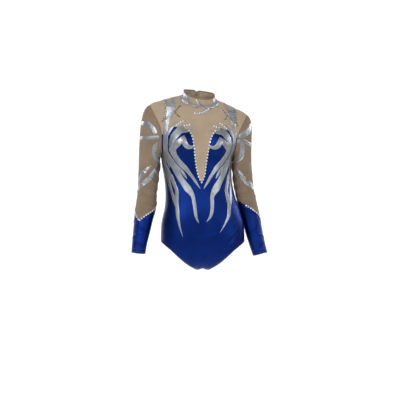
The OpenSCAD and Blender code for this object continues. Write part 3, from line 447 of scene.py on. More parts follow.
FLANK_FLAMES = [
    # Trunk beside the bust, between the side and the arc
    [[124, 530, 12], [128, 508, 15], [127.5, 485, 15.5], [126.5, 470, 16], [126, 456, 14],
     [124, 440, 15], [121, 425, 16]],
    # Inner strand to the waist and the belly
    [[124, 446, 14], [121, 432, 14], [113, 416, 16], [104, 400, 17], [94, 380, 20], [86, 361, 20],
     [75, 340, 20], [64, 322, 22], [53, 304, 26], [42, 288, 20], [35, 272, 14], [33, 250, 13],
     [31, 228, 12], [28.5, 210, 11], [24, 194, 8], [14, 175, 0.5]],
    [[108, 411, 10], [93, 395, 12], [79, 378, 11], [66, 360, 10], [58, 347, 7], [53, 338, 0.5]],
    [[121, 420, 5], [116, 402, 6], [112, 388, 4], [109, 377, 0.5]],
    # Outer strand, split by a slot, with one tail over the hip
    [[127, 432, 9], [126, 410, 8], [122.5, 390, 9], [117, 370, 13], [113, 352, 17], [111, 345, 18]],
    [[117, 352, 10], [112, 316, 9], [108, 290, 9], [103, 264, 11], [97, 240, 12]],
    [[106, 350, 11], [97, 318, 12], [91, 296, 12], [93, 268, 12], [95, 245, 12], [94, 222, 13],
     [92, 200, 12], [87, 178, 8.5], [80, 152, 5], [70, 124, 0.5]]]
SHOULDER_FLAME = [
    [[124.5, 531, 12], [123, 538, 15], [121, 552, 18], [115, 572, 26], [114, 590, 28]],
    [[122, 588, 14], [126, 606, 16], [129, 626, 16]],
    [[104, 588, 14], [103, 606, 13], [99, 640, 12]]]
# Collar ornaments: a fan on each side, and ribbons that cross below the throat
FAN = [[52, 664, 10], [57, 640, 26], [58, 622, 24], [52, 612, 10]]
RIBBONS = {
    RIGHT: [[[52, 645, 6], [43, 626, 9], [34, 608, 11], [20, 598, 10], [6, 600, 2]]],
    LEFT: [[[-20, 632, 4], [-8, 614, 8], [4, 603, 10], [16, 596, 12], [32, 603, 14], [50, 612, 10]],
           [[24, 600, 12], [14, 585, 10], [2, 577, 9], [-12, 576, 7], [-28, 575, 2]]]}
# Silver on the sleeves, drawn as seen from the front: x, z and width
SLEEVE_BANDS = {
    RIGHT: [[[-232, 541, 15], [-215, 543, 17], [-197, 538, 18], [-181, 524, 18], [-169, 507, 17]],
            [[-236, 488, 14], [-197, 488, 14], [-160, 490, 12]],
            [[-163, 388, 8], [-177, 359, 17], [-195, 337, 18], [-214, 321, 17], [-236, 300, 14]],
            [[-190, 382, 7], [-206, 368, 15], [-217, 354, 15], [-228, 336, 13]]],
    LEFT: [[[192, 556, 8], [183, 538, 13], [173, 518, 20], [160, 506, 22], [145, 499, 17]],
           [[130, 478, 12], [156, 480, 14], [171, 473, 15], [196, 461, 16]],
           [[133, 372, 8], [145, 356, 17], [158, 339, 18], [173, 324, 18], [200, 304, 15]],
           [[183, 392, 4], [189, 374, 13], [194, 350, 14]]]}
SLEEVE_LEAVES = {
    RIGHT: [[[-162, 471, 2], [-170, 457, 16], [-175, 441, 14], [-178, 432, 3]],
            [[-179, 433, 3], [-172, 424, 16], [-164, 410, 16], [-159, 395, 3]]],
    LEFT: [[[149, 472, 10], [152, 455, 18], [151, 437, 19], [147, 420, 18], [139, 407, 9],
            [130, 396, 2]]]}
# Rows of stones: routes of x and height along the cloth
SHOULDER_ROW = [[130, 668], [130, 640], [130, 618], [131, 600], [134, 587], [141, 570]]
CHEVRON_ROW = [[80, 626], [92, 610], [98, 603], [90, 597], [82, 592]]
FINGER_ROWS = [[[92, 559], [78, 572], [60, 580]], [[64, 559], [36, 566]]]
TAIL_ROW = [[-26, 604], [-4, 606], [10, 612], [24, 624], [40, 672], [52, 692]]
FAN_ROW = [[66, 740], [60, 728], [50, 718]]
STONE_D, STONE_PITCH, CUFF_STONE_SPAN = 6.5, 11.6, 105

# ---------------------------------------------------------------- materials
def srgb(r, g, b):
    """A colour given as 0 to 255 screen values, for a shader."""
    c = np.array([r, g, b]) / 255
    return (*np.where(c <= 0.04045, c / 12.92, ((c + 0.055) / 1.055) ** 2.4), 1.0)


class Shader:
    """A small helper that adds nodes to one material and links them."""

    def __init__(self, name, **sockets):
        self.material = bpy.data.materials.new(name)
        self.material.use_nodes = True
        self.tree = self.material.node_tree
        self.bsdf = self.tree.nodes["Principled BSDF"]
        for key, value in sockets.items():
            self.bsdf.inputs[key.replace("_", " ")].default_value = value

    def add(self, kind, links=(), **settings):
        node = self.tree.nodes.new(kind)
        for key, value in settings.items():
            setattr(node, key, value)
        for socket, value in dict(links).items():
            if isinstance(value, bpy.types.NodeSocket):
                self.tree.links.new(value, node.inputs[socket])
            else:
                node.inputs[socket].default_value = value
        return node

    def link(self, out, socket):
        self.tree.links.new(out, self.bsdf.inputs[socket])

    def cloth_uv(self):
        return self.add("ShaderNodeUVMap", uv_map="cloth").outputs["UV"]

    def place(self):
        return self.add("ShaderNodeTexCoord").outputs["Object"]

    def math(self, operation, a, b=0.0):
        return self.add("ShaderNodeMath", {0: a, 1: b}, operation=operation).outputs[0]

    def ramp(self, factor, *stops):
        node = self.add("ShaderNodeValToRGB", {"Fac": factor})
        elements = node.color_ramp.elements
        while len(elements) < len(stops):
            elements.new(0.5)
        for element, (position, colour) in zip(elements, stops):
            element.position = position
            element.color = colour
        return node.outputs["Color"]

    def mix(self, factor, a, b, blend="MIX"):
        node = self.add("ShaderNodeMix", data_type="RGBA", blend_type=blend)
        for index, value in ((0, factor), (6, a), (7, b)):
            if isinstance(value, bpy.types.NodeSocket):
                self.tree.links.new(value, node.inputs[index])
            else:
                node.inputs[index].default_value = value
        return node.outputs[2]

    def noise(self, where, scale, detail=3.0, roughness=0.5):
        return self.add("ShaderNodeTexNoise", {"Vector": where, "Scale": scale, "Detail": detail,
                                               "Roughness": roughness}).outputs["Fac"]

    def voronoi(self, where, scale):
        """Distance from each cell's middle, and a random number for each cell."""
        cells = self.add("ShaderNodeTexVoronoi", {"Vector": where, "Scale": scale})
        split = self.add("ShaderNodeSeparateColor", {0: cells.outputs["Color"]})
        return cells.outputs["Distance"], split.outputs[0]

    def roughness(self, value, low, high, **window):
        node = self.add("ShaderNodeMapRange", {"Value": value, "To Min": low, "To Max": high})
        for key, edge in window.items():
            node.inputs[key.replace("_", " ")].default_value = edge
        self.link(node.outputs["Result"], "Roughness")

    def bump(self, *layers):
        """Stacks bump layers, each (height, strength, distance)."""
        normal = None
        for height, strength, distance in layers:
            links = {"Height": height, "Strength": strength, "Distance": distance}
            if normal is not None:
                links["Normal"] = normal
            normal = self.add("ShaderNodeBump", links).outputs["Normal"]
        self.link(normal, "Normal")


def knit_height(shader, uv, per_metre):
    """Height of a fine knit: columns of V-shaped loops."""
    u, v, _ = shader.add("ShaderNodeSeparateXYZ", {0: uv}).outputs
    column = shader.math("SINE", shader.math("MULTIPLY", u, 2 * math.pi * per_metre))
    slant = shader.math("ABSOLUTE", column)
    rows = shader.math("MULTIPLY_ADD", v, 2 * math.pi * per_metre * 1.3)
    rows.node.inputs[2].default_value = 0
    loops = shader.math("SINE", shader.math("ADD", rows, shader.math("MULTIPLY", slant, 2.2)))
    return shader.math("ADD", shader.math("MULTIPLY", loops, 0.5), slant)


def net_height(shader, uv, per_metre):
    """Height of a fine net: threads round rows of holes."""
    cells = shader.add("ShaderNodeTexVoronoi", {"Vector": uv, "Scale": per_metre, "Randomness": 0.15},
                       feature="DISTANCE_TO_EDGE", voronoi_dimensions="2D")
    return shader.math("SUBTRACT", 1.0, shader.math("MULTIPLY", cells.outputs["Distance"], 2.4))


def blue_foil():
    """Foil-printed stretch knit: a metal film with fine crackle, broken by the knit under it."""
    m = Shader("blue_foil_spandex", Metallic=0.9, Roughness=0.36)
    uv, place = m.cloth_uv(), m.place()
    cloud = m.noise(place, 26, 4)
    colour = m.ramp(cloud, (0.3, srgb(4, 28, 92)), (0.72, srgb(6, 38, 112)))
    grain = m.noise(place, 2600, 2)
    colour = m.mix(m.ramp(grain, (0.46, (0, 0, 0, 1)), (0.72, (1, 1, 1, 1))), colour, srgb(12, 58, 152))
    m.link(colour, "Base Color")
    m.roughness(grain, 0.28, 0.44, From_Min=0.3, From_Max=0.7)
    m.bump((knit_height(m, uv, 620), 0.35, 0.00025), (m.noise(place, 70, 3), 0.25, 0.002),
           (m.noise(place, 1500, 2), 0.25, 0.0003))
    return m.material


def silver_foil():
    """Silver foil cloth: a brushed metal film with tiny creases and glitter."""
    m = Shader("silver_foil", Metallic=0.88, Roughness=0.4, Specular_Tint=(1, 1, 1, 1))
    place = m.place()
    cloud = m.noise(place, 55, 5, 0.6)
    colour = m.ramp(cloud, (0.3, srgb(142, 147, 152)), (0.7, srgb(172, 177, 181)))
    flakes, glint = m.voronoi(place, 1300)
    colour = m.mix(m.ramp(glint, (0.9, (0, 0, 0, 1)), (0.98, (1, 1, 1, 1))), colour, srgb(214, 220, 225))
    m.link(colour, "Base Color")
    m.roughness(glint, 0.34, 0.5)
    m.bump((m.noise(place, 95, 4, 0.6), 0.35, 0.0022), (flakes, 0.2, 0.0004))
    return m.material


def nude_net(name, pale, deep, threads=760):
    """Fine power mesh over a nude lining: matt threads, small holes painted darker as painted shade seen
    through the net, and a soft sheen.
    """
    m = Shader(name, Roughness=0.78, Sheen_Weight=0.25, Sheen_Roughness=0.45, Sheen_Tint=pale)
    uv, place = m.cloth_uv(), m.place()
    net = net_height(m, uv, threads)
    cloud = m.noise(place, 14, 4)
    body = m.ramp(cloud, (0.3, deep), (0.7, pale))
    # painted shade: the holes are darkened for the shade seen through the net
    holes = m.ramp(net, (0.1, (0.62, 0.56, 0.5, 1)), (0.75, (1, 1, 1, 1)))
    m.link(m.mix(1.0, body, holes, "MULTIPLY"), "Base Color")
    m.bump((net, 0.6, 0.0004), (m.noise(place, 160, 3), 0.15, 0.001))
    return m.material


def plain_cloth(name, pale, deep, threads=900, rough=0.8, sheen=0.2):
    """Woven or knitted cloth of one colour, with its threads and some unevenness."""
    m = Shader(name, Roughness=rough, Sheen_Weight=sheen, Sheen_Roughness=0.5)
    place = m.place()
    weave = m.math("MULTIPLY", *(
        m.add("ShaderNodeTexWave", {"Vector": place, "Scale": threads, "Distortion": 0.6},
              wave_type="BANDS", bands_direction=way).outputs["Fac"] for way in "XZ"))
    m.link(m.mix(m.noise(place, 60, 4), deep, pale), "Base Color")
    m.bump((weave, 0.5, 0.0003))
    return m.material


def thread(name, pale, deep):
    """Twisted sewing thread."""
    m = Shader(name, Roughness=0.45, Sheen_Weight=0.3)
    place = m.place()
    twist = m.noise(place, 2200, 2)
    m.link(m.mix(twist, deep, pale), "Base Color")
    m.bump((twist, 0.5, 0.0002))
    return m.material


def crystal(name, dull, clear):
    """Foil-backed cut stone: bright facets with slight cloudiness, from dull to clear."""
    m = Shader(name, Metallic=0.15, Roughness=0.06, IOR=1.6, Coat_Weight=1.0, Coat_Roughness=0.02)
    place = m.place()
    m.link(m.ramp(m.voronoi(place, 420)[1], (0.1, dull), (0.6, clear)), "Base Color")
    m.bump((m.noise(place, 900, 2), 0.08, 0.0003))
    return m.material


def metal(name, pale, deep):
    """Plated zinc: fine scratches, darker in patches."""
    m = Shader(name, Metallic=1.0, Roughness=0.3)
    place = m.place()
    patches = m.noise(place, 300, 5, 0.7)
    m.link(m.mix(patches, deep, pale), "Base Color")
    scratch = m.add("ShaderNodeTexNoise", {"Vector": m.add("ShaderNodeMapping", {
        "Vector": place, "Scale": (4000, 4000, 300)}).outputs["Vector"], "Scale": 1.0, "Detail": 2.0})
    m.roughness(patches, 0.22, 0.42)
    m.bump((scratch.outputs["Fac"], 0.15, 0.0001))
    return m.material


def nylon():
    m = Shader("zip_coil_nylon", Roughness=0.42, Subsurface_Weight=0.1)
    place = m.place()
    m.link(m.mix(m.noise(place, 500, 3), srgb(150, 128, 104), srgb(176, 154, 128)), "Base Color")
    m.bump((m.noise(place, 1800, 2), 0.2, 0.0001))
    return m.material


def studio_white():
    m = Shader("studio_white", Roughness=0.9)
    m.link(m.mix(m.noise(m.place(), 3, 2), (0.86, 0.86, 0.86, 1), (0.9, 0.9, 0.9, 1)), "Base Color")
    return m.material


MATERIALS = {
    "blue_foil_spandex": blue_foil(),
    "silver_foil": silver_foil(),
    "zip_coil_nylon": nylon(),
    "nude_mesh": nude_net("nude_mesh", srgb(196, 176, 151), srgb(182, 162, 137)),
    "sleeve_mesh": nude_net("sleeve_mesh", srgb(154, 133, 111), srgb(138, 118, 98)),
    "lining_cloth": plain_cloth("lining_cloth", srgb(198, 176, 150), srgb(184, 162, 136)),
    "blue_stitched_elastic": plain_cloth("blue_stitched_elastic", srgb(24, 62, 150), srgb(14, 44, 118),
                                         1200, 0.6),
    "zip_tape_cloth": plain_cloth("zip_tape_cloth", srgb(172, 150, 124), srgb(158, 136, 110), 1400),
    "label_cloth": plain_cloth("label_cloth", srgb(238, 237, 232), srgb(226, 224, 218), 1600, 0.45, 0.4),
    "zip_metal": metal("zip_metal", srgb(190, 190, 194), srgb(150, 150, 156)),
    "crystal": crystal("crystal", srgb(206, 215, 226), srgb(252, 253, 254))}
SMOKY_CRYSTAL = crystal("smoky_crystal", srgb(70, 74, 82), srgb(128, 134, 142))
BLUE_THREAD = thread("blue_thread", srgb(30, 66, 150), srgb(12, 34, 92))
NUDE_THREAD = thread("nude_thread", srgb(186, 160, 130), srgb(150, 124, 98))
THREADS = {"blue_stitched_elastic": BLUE_THREAD, "nude_mesh": NUDE_THREAD, "sleeve_mesh": NUDE_THREAD}


def make_object(name, points, faces, slot, uv=None, material=None, smooth_shade=True):
    """A mesh object in metres that rides on the garment and stands for the CAD node of its name.

    uv has one pair of metres for each point. The material is the slot's unless another is given."""
    mesh = bpy.data.meshes.new("made_" + name)  # the CAD node has the plain name
    mesh.from_pydata((np.asarray(points) * MM).tolist(), [], faces)
    if uv is not None:
        layer = mesh.uv_layers.new(name="cloth")
        corners = np.empty(len(mesh.loops), np.int32)
        mesh.loops.foreach_get("vertex_index", corners)
        layer.data.foreach_set("uv", np.asarray(uv, np.float32)[corners].ravel())
    mesh.polygons.foreach_set("use_smooth", np.full(len(mesh.polygons), smooth_shade))
    mesh.materials.append(material or MATERIALS[slot])
    mesh.validate()
    obj = bpy.data.objects.new("made_" + name, mesh)
    bpy.context.scene.collection.objects.link(obj)
    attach(obj, "garment")
    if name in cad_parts:
        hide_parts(name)


def cut_cells(inside, wrap):
    """Cuts a grid along the line where inside is zero.

    Gives for each kept vertex the two grid points it lies between and its share of the way,
    and the faces, which turn the way that the grid does."""
    rows, cols = inside.shape
    flat = inside.ravel()
    kept = flat > 0
    index = np.full(flat.size, -1)
    index[kept] = np.arange(kept.sum())
    first, second, share = [np.flatnonzero(kept)], [np.flatnonzero(kept)], [np.zeros(kept.sum())]
    count = int(kept.sum())
    grid = np.arange(flat.size).reshape(rows, cols)
    right = np.roll(grid, -1, axis=1) if wrap else grid[:, 1:]
    here = grid if wrap else grid[:, :-1]
    crossing = {}
    for a, b in ((here.ravel(), right.ravel()), (grid[:-1].ravel(), grid[1:].ravel())):
        cut = kept[a] != kept[b]
        a, b = a[cut], b[cut]
        first.append(a)
        second.append(b)
        share.append(np.clip(flat[a] / (flat[a] - flat[b]), 0.05, 0.95))
        crossing.update(zip(zip(a.tolist(), b.tolist()), range(count, count + len(a))))
        count += len(a)
    corners = np.stack([here[:-1], right[:-1], right[1:], here[1:]], axis=-1).reshape(-1, 4)
    whole = kept[corners].sum(axis=1)
    faces = index[corners[whole == 4]].tolist()
    for cell in corners[(whole > 0) & (whole < 4)].tolist():
        face = []
        for k in range(4):
            a, b = cell[k], cell[(k + 1) % 4]
            if kept[a]:
                face.append(int(index[a]))
            if kept[a] != kept[b]:
                face.append(crossing[(a, b)] if (a, b) in crossing else crossing[(b, a)])
        faces.append(face)
    return np.concatenate(first), np.concatenate(second), np.concatenate(share), faces


def rim_edges(faces):
    """Directed edges that only one face has."""
    seen = {}
    for face in faces:
        for a, b in zip(face, face[1:] + face[:1]):
            seen[(a, b)] = True
    return [(a, b) for a, b in seen if (b, a) not in seen]


def measured_uv(p):
    """Metres across and up a grid of points, from its middle column and first row."""
    steps = np.linalg.norm(np.diff(p, axis=1), axis=-1)
    u = np.concatenate([np.zeros((p.shape[0], 1)), np.cumsum(steps, axis=1)], axis=1)
    u -= u[:, u.shape[1] // 2][:, None]
    climbs = np.linalg.norm(np.diff(p, axis=0), axis=-1).mean(axis=1)
    v = np.concatenate([[0], np.cumsum(climbs)])
    return vec(u, v[:, None]) * MM


def cloth(name, skin, low, high, slot, inside=None, wrap=False, edge=0.0, puff=0.0, relief=None):
    """A closed thin sheet between two heights over a skin, cut to where inside is above zero.

    edge is how much thinner it gets at its rim, puff how much its middle rises, and relief a height
    over the grid."""
    p, n = skin
    if inside is None:
        inside = np.ones(p.shape[:2])
    a, b, share, faces = cut_cells(inside, wrap)
    turned = np.cross(p[0, 1] - p[0, 0], p[1, 0] - p[0, 0]) @ n[0, 0] < 0
    if turned:
        faces = [face[::-1] for face in faces]

    def between(values):
        flat = values.reshape(-1, *values.shape[2:])
        k = share.reshape(-1, *[1] * (flat.ndim - 1))
        return flat[a] * (1 - k) + flat[b] * k

    points, normals, depth = between(p), between(n), between(np.asarray(inside, float))
    soft = np.clip(depth / 2.2, 0, 1)
    rise = high - edge * (1 - soft) ** 2 + puff * np.clip(depth / 6, 0, 1) ** 0.5
    if relief is not None:
        rise = rise + between(relief) * soft
    top, bottom = points + normals * rise[:, None], points + normals * low
    uv = between(measured_uv(p))
    size = len(points)
    rim = [[q, p_, p_ + size, q + size] for p_, q in rim_edges(faces)]
    under = [[k + size for k in face[::-1]] for face in faces]
    make_object(name, np.vstack([top, bottom]), faces + under + rim, slot, np.vstack([uv, uv]))


def ring_faces(rings, sides, closed=False):
    """Faces between rings of points, with end caps unless the last ring meets the first."""
    faces = []
    for i in range(rings if closed else rings - 1):
        j = (i + 1) % rings
        for k in range(sides):
            m = (k + 1) % sides
            faces.append([i * sides + k, i * sides + m, j * sides + m, j * sides + k])
    if not closed:
        faces += [list(range(sides))[::-1], [(rings - 1) * sides + k for k in range(sides)]]
    return faces


def tube(path, normals, radius, sides, closed=False, squash=(1.0, 1.0)):
    """Points and faces of a tube along a path, its section scaled along and across the normals."""
    path = np.asarray(path, float)
    ahead = np.roll(path, -1, axis=0) - np.roll(path, 1, axis=0)
    if not closed:
        ahead[0], ahead[-1] = path[1] - path[0], path[-1] - path[-2]
    d = unit(ahead)
    side_way = unit(np.cross(d, np.asarray(normals, float)))
    up = np.cross(side_way, d)
    turn = 2 * math.pi * np.arange(sides) / sides
    ring = (side_way[:, None] * (np.cos(turn) * squash[1])[None, :, None]
            + up[:, None] * (np.sin(turn) * squash[0])[None, :, None]) * radius
    return (path[:, None] + ring).reshape(-1, 3), ring_faces(len(path), sides, closed)


def join_parts(parts):
    """Points and faces of several parts as one."""
    points, faces, base = [], [], 0
    for p, f in parts:
        points.append(np.asarray(p))
        faces += [[k + base for k in face] for face in f]
        base += len(p)
    return np.vstack(points), faces


def resample(points, normals, pitch, first=0.0):
    """Places a fixed pitch apart along a route: points, normals and directions."""
    steps = np.linalg.norm(np.diff(points, axis=0), axis=1)
    along = np.concatenate([[0], np.cumsum(steps)])
    want = np.arange(first, along[-1], pitch)
    p = np.stack([np.interp(want, along, points[:, k]) for k in range(3)], axis=1)
    n = unit(np.stack([np.interp(want, along, normals[:, k]) for k in range(3)], axis=1))
    ahead = np.stack([np.interp(want + 0.5, along, points[:, k])
                      - np.interp(want - 0.5, along, points[:, k]) for k in range(3)], axis=1)
    return p, n, unit(ahead)


def stitch_form():
    """One stitch, one long and one wide: a rounded bar that bows up."""
    rings = []
    for x, r in ((-0.5, 0.25), (-0.32, 0.9), (0.0, 1.0), (0.32, 0.9), (0.5, 0.25)):
        lift = 0.6 * (1 - (2 * x) ** 2)
        rings.append([[x, 0.5 * r * math.cos(a), lift + 0.5 * r * math.sin(a)]
                      for a in np.arange(6) * math.pi / 3])
    return np.array(rings).reshape(-1, 3), [face[::-1] for face in ring_faces(5, 6)]


def copies(form, p, axes, sizes):
    """Copies of a form at each p, its x, y and z along the axes and scaled by the sizes."""
    points, faces = form
    placed = p[:, None] + sum(axis[:, None] * (points[None, :, k:k + 1] * size)
                              for k, (axis, size) in enumerate(zip(axes, sizes)))
    count = len(points)
    return placed.reshape(-1, 3), [[k + i * count for k in face] for i in range(len(p)) for face in faces]


STITCH = stitch_form()


def stitches(name, routes, slot, length=2.6, gap=0.9, width=0.5, zigzag=0.0):
    """Sewn stitches along routes, each (points, normals).

    zigzag throws every other stitch to the other side."""
    parts = []
    for points, normals in routes:
        p, n, d = resample(points, normals, length + gap)
        across = np.cross(n, d)
        if zigzag:
            slant = np.where(np.arange(len(p)) % 2 == 0, 1, -1)[:, None]
            d = unit(d * (length + gap) + across * slant * zigzag)
            across = np.cross(n, d)
        long = length + gap if zigzag else length
        parts.append(copies(STITCH, p, (d, across, n), (long, width, width)))
    make_object(name, *join_parts(parts), slot, material=THREADS[slot])


def stone_form():
    """A cut stone of radius 1 on z = 0, as facets: a table, two rows of crown facets and a girdle."""
    levels = [(16, 1.0, 0.0, 0), (16, 1.0, 0.2, 0), (8, 0.8, 0.46, 0.5), (8, 0.5, 0.68, 0)]
    bm = bmesh.new()
    for count, r, z, turn in levels:
        for k in range(count):
            a = 2 * math.pi * (k + turn) / count
            bm.verts.new((r * math.cos(a), r * math.sin(a), z))
    bmesh.ops.convex_hull(bm, input=bm.verts)
    bmesh.ops.dissolve_limit(bm, angle_limit=0.02, verts=bm.verts, edges=bm.edges)
    bmesh.ops.recalc_face_normals(bm, faces=bm.faces)
    bm.verts.index_update()
    points = np.array([v.co for v in bm.verts])
    faces = [[v.index for v in f.verts] for f in bm.faces]
    bm.free()
    return points, faces


STONE = stone_form()


def stones(name, routes, lift, material=None):
    """Rows of stones, each route being (points, normals, pitch, first). Every stone is turned a little."""
    parts = []
    for points, normals, pitch, first in routes:
        p, n, d = resample(points, normals, pitch, first)
        n = unit(n + rng.normal(0, 0.05, n.shape))  # no two sit quite level
        d = unit(d - n * (d * n).sum(axis=1, keepdims=True))
        b = np.cross(n, d)
        turn = rng.uniform(0, math.pi / 4, len(p))[:, None]
        a1, b1 = d * np.cos(turn) + b * np.sin(turn), b * np.cos(turn) - d * np.sin(turn)
        parts.append(copies(STONE, p + n * lift, (a1, b1, n), [STONE_D / 2] * 3))
    make_object(name, *join_parts(parts), "crystal", material=material, smooth_shade=False)


# ---------------------------------------------------------------- torso panels
BLUE_HIGH_V, BACK_HIGH_V, YOKE_LOW_V, BACK_YOKE_LOW_V = 575, 545, 350, 470


def torso_net(face, low, high, rows, cols):
    """A net over the front or back between two heights, with its x and z before posing.

    Where low is None it starts at the leg line."""
    s = np.linspace(-1, 1, cols)[None, :]
    v0 = leg_v(s, face) if low is None else np.full_like(s, low)
    v = v0 + (high - v0) * np.linspace(0, 1, rows)[:, None]
    s = np.broadcast_to(s, v.shape)
    at = straight(face, s, v)
    return torso_skin(face, s, v), at[..., 0], at[..., 2]


net, x, z = torso_net(FRONT, None, BLUE_HIGH_V, 380, 300)
cloth("front_body_panel", net, SKIN_GAP, BLUE_OUT, "blue_foil_spandex", blue_inside(x, z), edge=0.3)
net, x, z = torso_net(BACK, None, BACK_HIGH_V, 330, 260)
cloth("back_body_panel", net, SKIN_GAP, BLUE_OUT, "blue_foil_spandex", back_blue_inside(x, z), edge=0.3)
net, x, z = torso_net(FRONT, YOKE_LOW_V, COLLAR_V, 300, 240)
cloth("front_yoke_mesh", net, SKIN_GAP, MESH_OUT, "nude_mesh", -blue_inside(x, z))

# Zip frame: the low end on the skin, x across, y out of the back, z up the zip
ZIP_LOW_V, ZIP_GAP = 534, 6
zip_foot = torso(BACK, np.array(0.0), np.array(float(ZIP_LOW_V)))
zip_head = torso(BACK, np.array(0.0), np.array(float(TOP_V)))
zip_len = float(np.linalg.norm(zip_head - zip_foot))
zip_up = unit(zip_head - zip_foot)
shoulder_turn = math.radians(TURN[-1][1])
zip_out = unit(np.cross(zip_up, [math.cos(shoulder_turn), math.sin(shoulder_turn), 0]))
zip_across = np.cross(zip_out, zip_up)


def zip_point(x, y, z):
    """From the zip's own frame to the garment's."""
    x, y, z = np.broadcast_arrays(x, y, z)
    return zip_foot + x[..., None] * zip_across + y[..., None] * zip_out + z[..., None] * zip_up


net, x, z = torso_net(BACK, BACK_YOKE_LOW_V, COLLAR_V, 260, 240)
off_zip, up_zip = (net[0] - zip_foot) @ zip_across, (net[0] - zip_foot) @ zip_up
for side, word in SIDES:
    beside = np.where(up_zip > 0, off_zip * side - ZIP_GAP, off_zip * side - 0.05)
    cloth(f"back_yoke_{word}", net, SKIN_GAP, MESH_OUT, "nude_mesh",
          np.minimum(-back_blue_inside(x, z), beside))

COLLAR_END = math.radians(175.2)
collar_v = np.linspace(COLLAR_V + 0.3, TOP_V - 1, 28)[:, None]
cloth("collar_band", hoop_skin(np.linspace(-COLLAR_END, COLLAR_END, 240)[None, :], collar_v),
      SKIN_GAP, MESH_OUT + 0.3, "nude_mesh", edge=0.2)
RIM_STEPS, RIM_SIDES = 200, 10
rim = raised(hoop_skin(np.linspace(-COLLAR_END, COLLAR_END, RIM_STEPS), TOP_V - 2.2), 1.1)
make_object("collar_binding", *tube(*rim, 1.6, RIM_SIDES, squash=(0.75, 1.7)), "sleeve_mesh",
            np.stack([np.repeat(np.arange(RIM_STEPS) * 0.0016, RIM_SIDES),
                      np.tile(np.arange(RIM_SIDES), RIM_STEPS) * 0.001], 1))

# ---------------------------------------------------------------- sleeves and cuffs
RING, SLEEVE_ROWS, CUFF_ROWS = 200, 260, 90
ring = np.linspace(0, 2 * math.pi, RING, endpoint=False)[None, :]


def sleeve_grid(side, start, end, rows):
    """A net round the arm between two edges, each a number or a row of numbers."""
    start, end = (np.broadcast_to(np.asarray(k, float), (1, RING)) for k in (start, end))
    t = start + (end - start) * np.linspace(0, 1, rows)[:, None]
    angle = np.broadcast_to(ring, t.shape)
    return sleeve_skin(side, angle, t), angle


sleeves = {}
for side, word in SIDES:
    edge_t = cuff_edge(side, ring)
    sleeves[side] = sleeve_grid(side, -0.99, edge_t - 0.0005, SLEEVE_ROWS)
    cloth(f"{word}_sleeve", sleeves[side][0], SKIN_GAP, MESH_OUT, "sleeve_mesh", wrap=True)
    cloth(f"{word}_cuff", sleeve_grid(side, edge_t + 0.0005, 1, CUFF_ROWS)[0], SKIN_GAP, BLUE_OUT,
          "blue_foil_spandex", wrap=True)

# ---------------------------------------------------------------- silver appliques
PLEAT, PLEAT_H = 5.2, 0.32  # the fans are gathered into pleats
# The leaf outside the left elbow: height, slant, half length, half width; mm round the arm per degree
LEAF_Z, LEAF_LEN, LEAF_HALF_W, ARM_MM = 371, 35, 15, 0.6
LEAF_UP, LEAF_ROUND = 0.9, 0.44
flame_net, flame_x, flame_z = torso_net(FRONT, None, 640, 520, 340)
shoulder_net, shoulder_x, shoulder_z = torso_net(FRONT, 540, COLLAR_V - 1, 240, 300)
fan_net, fan_x, fan_z = torso_net(FRONT, 590, TOP_V - 5, 220, 300)
# Blue shows between the swirl and the flank low down, and above they overlap with the swirl on top
swirl_gap = np.interp(flame_z, [452, 484], [2.6, -2.0])


def applique(name, net, inside, low=SILVER_IN, high=SILVER_OUT, **how):
    cloth(name, net, low, high, "silver_foil", inside, edge=0.3, puff=0.25, **how)


for side, word in SIDES:
    swirl = strokes_inside(flame_x, flame_z, [mirrored(side, q) for q in BUST_FLAMES])
    flank = strokes_inside(flame_x, flame_z, [mirrored(side, q) for q in FLANK_FLAMES])
    applique(f"{word}_bust_swirl", flame_net, swirl, SILVER_IN + 0.25, SILVER_OUT + 0.25)
    applique(f"{word}_flank_flames", flame_net, np.minimum(flank, -swirl - swirl_gap))
    flame = strokes_inside(shoulder_x, shoulder_z, [mirrored(side, q) for q in SHOULDER_FLAME])
    trunk = strokes_inside(shoulder_x, shoulder_z, [mirrored(side, FLANK_FLAMES[0])])
    applique(f"{word}_shoulder_flame", shoulder_net, np.minimum(flame, 3 - trunk),
             SILVER_IN + 0.15, SILVER_OUT + 0.15)
    flip = np.array([side, 1, 1])
    only_fan = stroke_inside(fan_x, fan_z, np.array(FAN) * flip)
    fan = np.maximum(only_fan, strokes_inside(fan_x, fan_z, [np.array(q) * flip for q in RIBBONS[side]]))
    folds = PLEAT_H * np.sin(2 * math.pi * (np.abs(fan_x) + 0.35 * fan_z) / PLEAT)
    fan_low = MESH_OUT + 0.45 + 0.15 * (side == LEFT)  # the left one lies over the right
    applique(f"{word}_collar_fan", fan_net, fan, fan_low, fan_low + 0.5,
             relief=folds * np.clip(only_fan / 3, 0, 1))
    net, angle = sleeves[side]
    seen_x, seen_z = net[0][..., 0] + NECK[0], net[0][..., 2] + NECK[2]
    bands = strokes_inside(seen_x, seen_z, SLEEVE_BANDS[side])
    if side == LEFT:
        # one slanted leaf outside the elbow, where the arm turns away from the front
        round_arm, up_arm = ((np.degrees(angle) + 180) % 360 - 180) * ARM_MM, seen_z - LEAF_Z
        along = up_arm * LEAF_UP + round_arm * LEAF_ROUND
        aside = round_arm * LEAF_UP - up_arm * LEAF_ROUND
        near = (np.abs(up_arm) < 38) & (np.abs(round_arm) < 46)
        bands = np.where(near, LEAF_HALF_W * (1 - (along / LEAF_LEN) ** 2) - np.abs(aside), bands)
    leaves = strokes_inside(seen_x, seen_z, SLEEVE_LEAVES[side])
    leaves = np.where(np.sin(angle) > 0, leaves, -99)  # on the front of the arm alone
    for kind, inside in (("bands", bands), ("leaves", leaves)):
        applique(f"{word}_sleeve_{kind}", net, inside, MESH_OUT + 0.1, MESH_OUT + 0.5, wrap=True)

